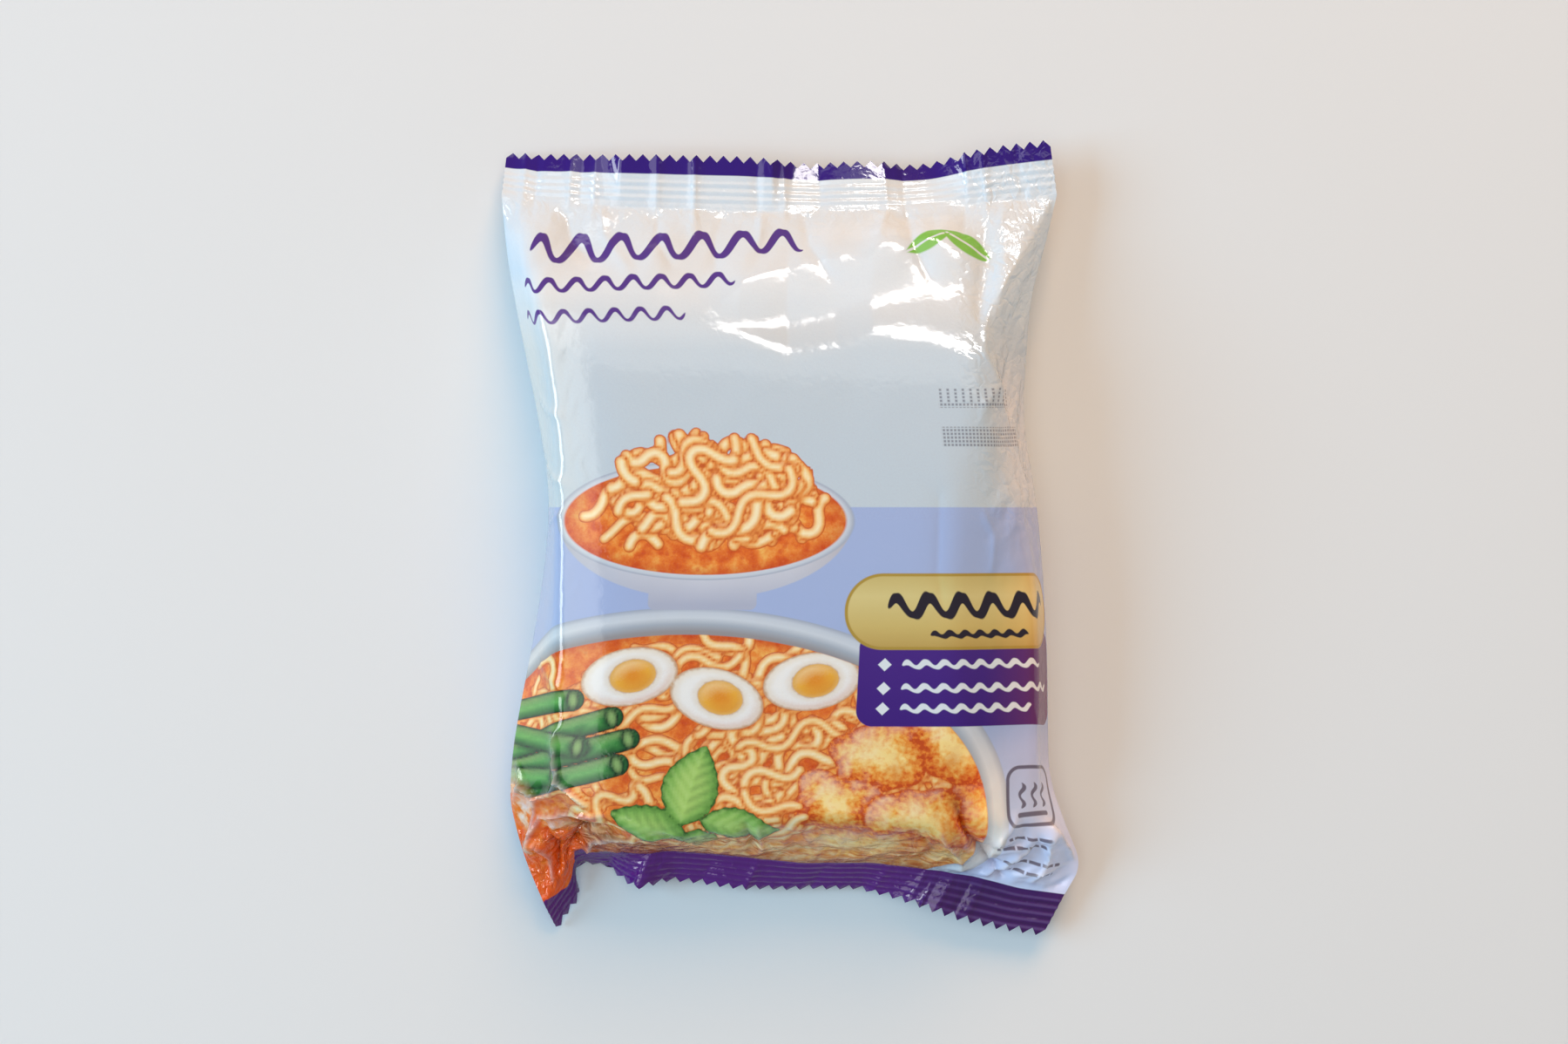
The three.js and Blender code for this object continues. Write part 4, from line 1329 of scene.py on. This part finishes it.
class GeometrySheet(Sheet):
    """A Geometry Nodes tree with named inputs."""

    def __init__(self, name):
        super().__init__(bpy.data.node_groups.new(name, "GeometryNodeTree"))
        self.tree.is_modifier = True
        for in_out in ("INPUT", "OUTPUT"):
            self.tree.interface.new_socket("Geometry", in_out=in_out, socket_type="NodeSocketGeometry")
        self.given = self.tree.nodes.new("NodeGroupInput")
        self.result = self.tree.nodes.new("NodeGroupOutput")
        self.sizes = {}

    def size(self, name, size):
        """A named input, with the size that it gets on the object."""
        socket = self.tree.interface.new_socket(name, in_out="INPUT", socket_type="NodeSocketFloat")
        self.sizes[socket.identifier] = size
        return Value(self, self.given.outputs[name])

    def start(self):
        return Value(self, self.given.outputs["Geometry"])

    def attribute(self, name):
        return self.node("GeometryNodeInputNamedAttribute", {"Name": name}, data_type="FLOAT")

    def move(self, geometry, offset, **selection):
        return self.node("GeometryNodeSetPosition", {"Geometry": geometry, "Offset": offset, **selection})

    def finish(self, geometry, material):
        """Ends the tree in Realize Instances and Set Material."""
        real = self.node("GeometryNodeRealizeInstances", {0: geometry})
        dressed = self.node("GeometryNodeSetMaterial", {"Geometry": real, "Material": material})
        self.put(self.result.inputs[0], dressed)

    def apply(self, thing):
        """Runs the tree on an object and returns its result as a plain mesh."""
        modifier = thing.modifiers.new(self.tree.name, "NODES")
        modifier.node_group = self.tree
        for identifier, size in self.sizes.items():
            modifier[identifier] = size
        evaluated = thing.evaluated_get(bpy.context.evaluated_depsgraph_get())
        mesh = bpy.data.meshes.new_from_object(evaluated)
        thing.modifiers.remove(modifier)
        return mesh


def fin_strip(sizes):
    """The strip of the back film that the fin lies under, as a mesh that faces down."""
    _, (back, _, back_v), _ = both_sheets(sizes)
    column_width = FLAT_WIDTH / (back.shape[1] - 1)
    middle = back.shape[1] // 2
    wide = int(round(sizes.fin_width / MM / column_width))
    part = (FIN_ROWS, slice(middle, middle + wide + 1))
    strip = back[part]
    shape = strip.shape[:2]
    mesh = bpy.data.meshes.new("fin strip")
    mesh.from_pydata((strip.reshape(-1, 3) * MM).tolist(), [], grid_faces(*shape, 0, True)[1].tolist())
    point_values(mesh, {
        "across": np.broadcast_to(np.arange(shape[1]) * column_width, shape),
        "film_u": np.full(shape, FLAT_WIDTH - 0.1),
        "film_v": back_v[part],
        "film_back": np.ones(shape),
    })
    return mesh


def press_fin(strip, sizes, material):
    """The seal along the back: a thin ribbed band that follows the back film just under it."""
    sheet = GeometrySheet("fin seal")
    gap = sheet.size("Gap", FIN_GAP * MM)
    thickness = sheet.size("Thickness", sizes.fin_thickness)
    pitch = sheet.size("Rib pitch", sizes.fin_rib_pitch / MM)
    height = sheet.size("Rib height", sizes.fin_rib_height)
    fine = sheet.node("GeometryNodeSubdivideMesh", {"Mesh": sheet.start(), "Level": 2})
    lowered = sheet.move(fine, sheet.join(0, 0, -gap))
    upper = sheet.node("GeometryNodeFlipFaces", {"Mesh": lowered})
    thick = sheet.node("GeometryNodeExtrudeMesh", {
        "Mesh": lowered, "Offset": (0, 0, -1), "Offset Scale": thickness, "Individual": False})
    rise = (sheet.attribute("across") * math.tau / pitch).sin() * height
    ribbed = sheet.move(thick, sheet.join(0, 0, rise), Selection=thick.socket.node.outputs["Top"])
    both = sheet.node("GeometryNodeJoinGeometry", {0: ribbed})
    sheet.put(both.socket.node.inputs[0], upper)
    closed = sheet.node("GeometryNodeMergeByDistance", {"Geometry": both, "Distance": 0.001 * MM})
    sheet.finish(closed, material)
    return sheet.apply(strip)


def press_ribs(film, sizes, length, material):
    """The seals' ribs, pressed into both films along the flat film's length."""
    sheet = GeometrySheet("seal ribs")
    pitch = sheet.size("Rib pitch", sizes.rib_pitch / MM)
    height = sheet.size("Rib height", sizes.rib_height)
    top_from = sheet.size("Upper ribs from", length + TOP_RIBS[0])
    top_to = sheet.size("Upper ribs to", length + TOP_RIBS[1])
    bottom_to = sheet.size("Lower ribs to", sizes.bottom_seal_depth / MM - BOTTOM_RIBS_MARGIN)
    v = sheet.attribute("film_v")
    upper = (v - top_from).held() * (top_to - v).held()
    lower = (-v - BOTTOM_RIBS_START).held() * (bottom_to + v).held()
    rise = (v * math.tau / pitch).sin() * height * (upper + lower)
    outwards = rise * (1 - sheet.attribute("film_back") * 2)
    offset = sheet.vector("SCALE", sheet.node("GeometryNodeInputNormal"), Scale=outwards)
    sheet.finish(sheet.move(sheet.start(), offset), material)
    return sheet.apply(film)


def lay_fin_flat(mesh):
    """The fin's bake map, seen from above: its lower faces at the left and the others at the right."""
    points = read_values(mesh.vertices, "co", 3, np.float32)[read_values(mesh.loops, "vertex_index")] / MM
    down = read_values(mesh.polygons, "normal", 3, np.float32)[:, 2] < 0
    under = np.repeat(down, read_values(mesh.polygons, "loop_total"))
    across_map = (points[:, 0] - points[:, 0].min()) / FIN_MAP_WIDTH + np.where(under, 0, 0.5)
    add_bake_map(mesh, across_map, points[:, 1] / MAP_HEIGHT + 0.5)


def add_object(name, data):
    """A new object in the scene."""
    thing = bpy.data.objects.new(name, data)
    bpy.context.scene.collection.objects.link(thing)
    return thing


class PACKET_OT_film(bpy.types.Operator):
    """Make the filled pouch of printed film with its two seals"""
    bl_idname = "packet.film"
    bl_label = "Film pouch"

    def execute(self, context):
        sizes = context.scene.film_sizes
        mesh, length = build_film(sizes)
        film = add_object("film", mesh)
        film.data = press_ribs(film, sizes, length, film_finish())
        film.data.set_sharp_from_angle(angle=SHARP_ON_FILM)
        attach(film, BODY)
        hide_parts(PACKET_NODE)
        return {"FINISHED"}


class PACKET_OT_fin(bpy.types.Operator):
    """Make the ribbed seal that runs along the middle of the back"""
    bl_idname = "packet.fin"
    bl_label = "Fin seal"

    def execute(self, context):
        sizes = context.scene.film_sizes
        fin = add_object("fin", fin_strip(sizes))
        fin.data = press_fin(fin, sizes, bpy.data.materials["printed film"])
        lay_fin_flat(fin.data)
        fin.data.set_sharp_from_angle(angle=SHARP_ON_FIN)
        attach(fin, BODY)
        return {"FINISHED"}


# Lights that fall on things but aren't mirrored in them, as (name, place, size, power, colour)
SOFT_LIGHTS = [
    ("cool left", (-2.03, 0.1, 1.27), (1.3, 1.3), 40, (0.37, 0.7, 1)),
    ("warm lamp", (0.48, 1.97, 1.3), (1.2, 1.2), 37.5, (1, 0.51, 0.18)),
    ("ceiling", (0, 0, 2.2), (2, 2), 14.5, (0.93, 0.98, 0.98)),
]
# Bright panes that show only as reflections, with their brightness against a white surface for power
SHINES = [
    ("left pane", (-1.0, 0.1, 0.66), (0.9, 0.3), 9, (0.9, 0.97, 1)),
    ("left glow", (-0.78, 0, 1.35), (2.4, 0.6), 1.9, (1, 0.99, 0.97)),
    ("far glow", (0.15, 0.8, 1.35), (1.5, 0.55), 1.1, (0.96, 0.99, 1)),
    ("window", (0.28, 0.86, 0.83), (0.5, 0.17), 22, (1, 0.96, 0.92)),
]
WORLD_COLOUR = (0.88, 0.96, 0.99, 1)
WORLD_STRENGTH = 0.27
CAMERA_PLACE = (-1.57 * MM, 3.67 * MM)
SURFACE_HALF = 1.5


def add_area(name, place, size, power, colour):
    """A rectangular light at a place, turned to the packet, in metres and watts."""
    light = bpy.data.lights.new(name, "AREA")
    light.shape = "RECTANGLE"
    light.size, light.size_y = size
    light.energy = power
    light.color = colour
    lamp = add_object(name, light)
    lamp.location = place
    lamp.rotation_euler = (-Vector(place)).to_track_quat("-Z", "Y").to_euler()
    return lamp


class PACKET_OT_stage(bpy.types.Operator):
    """Set the camera over the packet, the soft studio lights and the pale surface"""
    bl_idname = "packet.stage"
    bl_label = "Stage"

    def execute(self, context):
        scene = context.scene
        settings = scene.stage_settings
        camera = bpy.data.cameras.new("camera")
        camera.sensor_width = 36
        camera.lens = camera.sensor_width * settings.camera_height / settings.view_width
        scene.camera = add_object("camera", camera)
        scene.camera.location = (*CAMERA_PLACE, settings.camera_height)
        scene.view_settings.view_transform = "Standard"

        floor_mesh = bpy.data.meshes.new("surface")
        corners = [(x * SURFACE_HALF, y * SURFACE_HALF, 0) for x, y in ((-1, -1), (1, -1), (1, 1), (-1, 1))]
        floor_mesh.from_pydata(corners, [], [(0, 1, 2, 3)])
        finish = Finish("pale surface", {"Roughness": 0.55, "Specular IOR Level": 0.3})
        cloud = finish.noise(finish.node("ShaderNodeTexCoord", out=3), 2.5, 3.0)
        colour = tuple(settings.floor_colour)
        finish.vary("Base Color", finish.lay(cloud, colour, tuple(part * 0.985 for part in colour)))
        floor_mesh.materials.append(finish.material)
        add_object("surface", floor_mesh)

        world = bpy.data.worlds.new("studio")
        scene.world = world
        world.use_nodes = True
        background = world.node_tree.nodes["Background"].inputs
        background["Color"].default_value = WORLD_COLOUR
        background["Strength"].default_value = WORLD_STRENGTH
        for light in SOFT_LIGHTS:
            add_area(*light).visible_glossy = False
        for name, place, size, brightness, colour in SHINES:
            power = brightness * math.pi * size[0] * size[1]
            add_area(name, place, size, power, colour).visible_diffuse = False
        return {"FINISHED"}


class PACKET_PT_parts(bpy.types.Panel):
    bl_idname = "PACKET_PT_parts"
    bl_label = "Packet"
    bl_space_type = "VIEW_3D"
    bl_region_type = "UI"
    bl_category = "Packet"

    def draw(self, context):
        for part in PARTS:
            self.layout.operator(part.bl_idname)


PARTS = (PACKET_OT_stage, PACKET_OT_film, PACKET_OT_fin)
CLASSES = (FilmSizes, StageSettings, *PARTS, PACKET_PT_parts)


def register():
    for cls in CLASSES:
        bpy.utils.register_class(cls)
    bpy.types.Scene.film_sizes = PointerProperty(type=FilmSizes)
    bpy.types.Scene.stage_settings = PointerProperty(type=StageSettings)


def unregister():
    del bpy.types.Scene.stage_settings
    del bpy.types.Scene.film_sizes
    for cls in reversed(CLASSES):
        bpy.utils.unregister_class(cls)


def main():
    register()
    bpy.ops.packet.stage()
    bpy.ops.packet.film()
    bpy.ops.packet.fin()


if __name__ == "__main__":
    main()
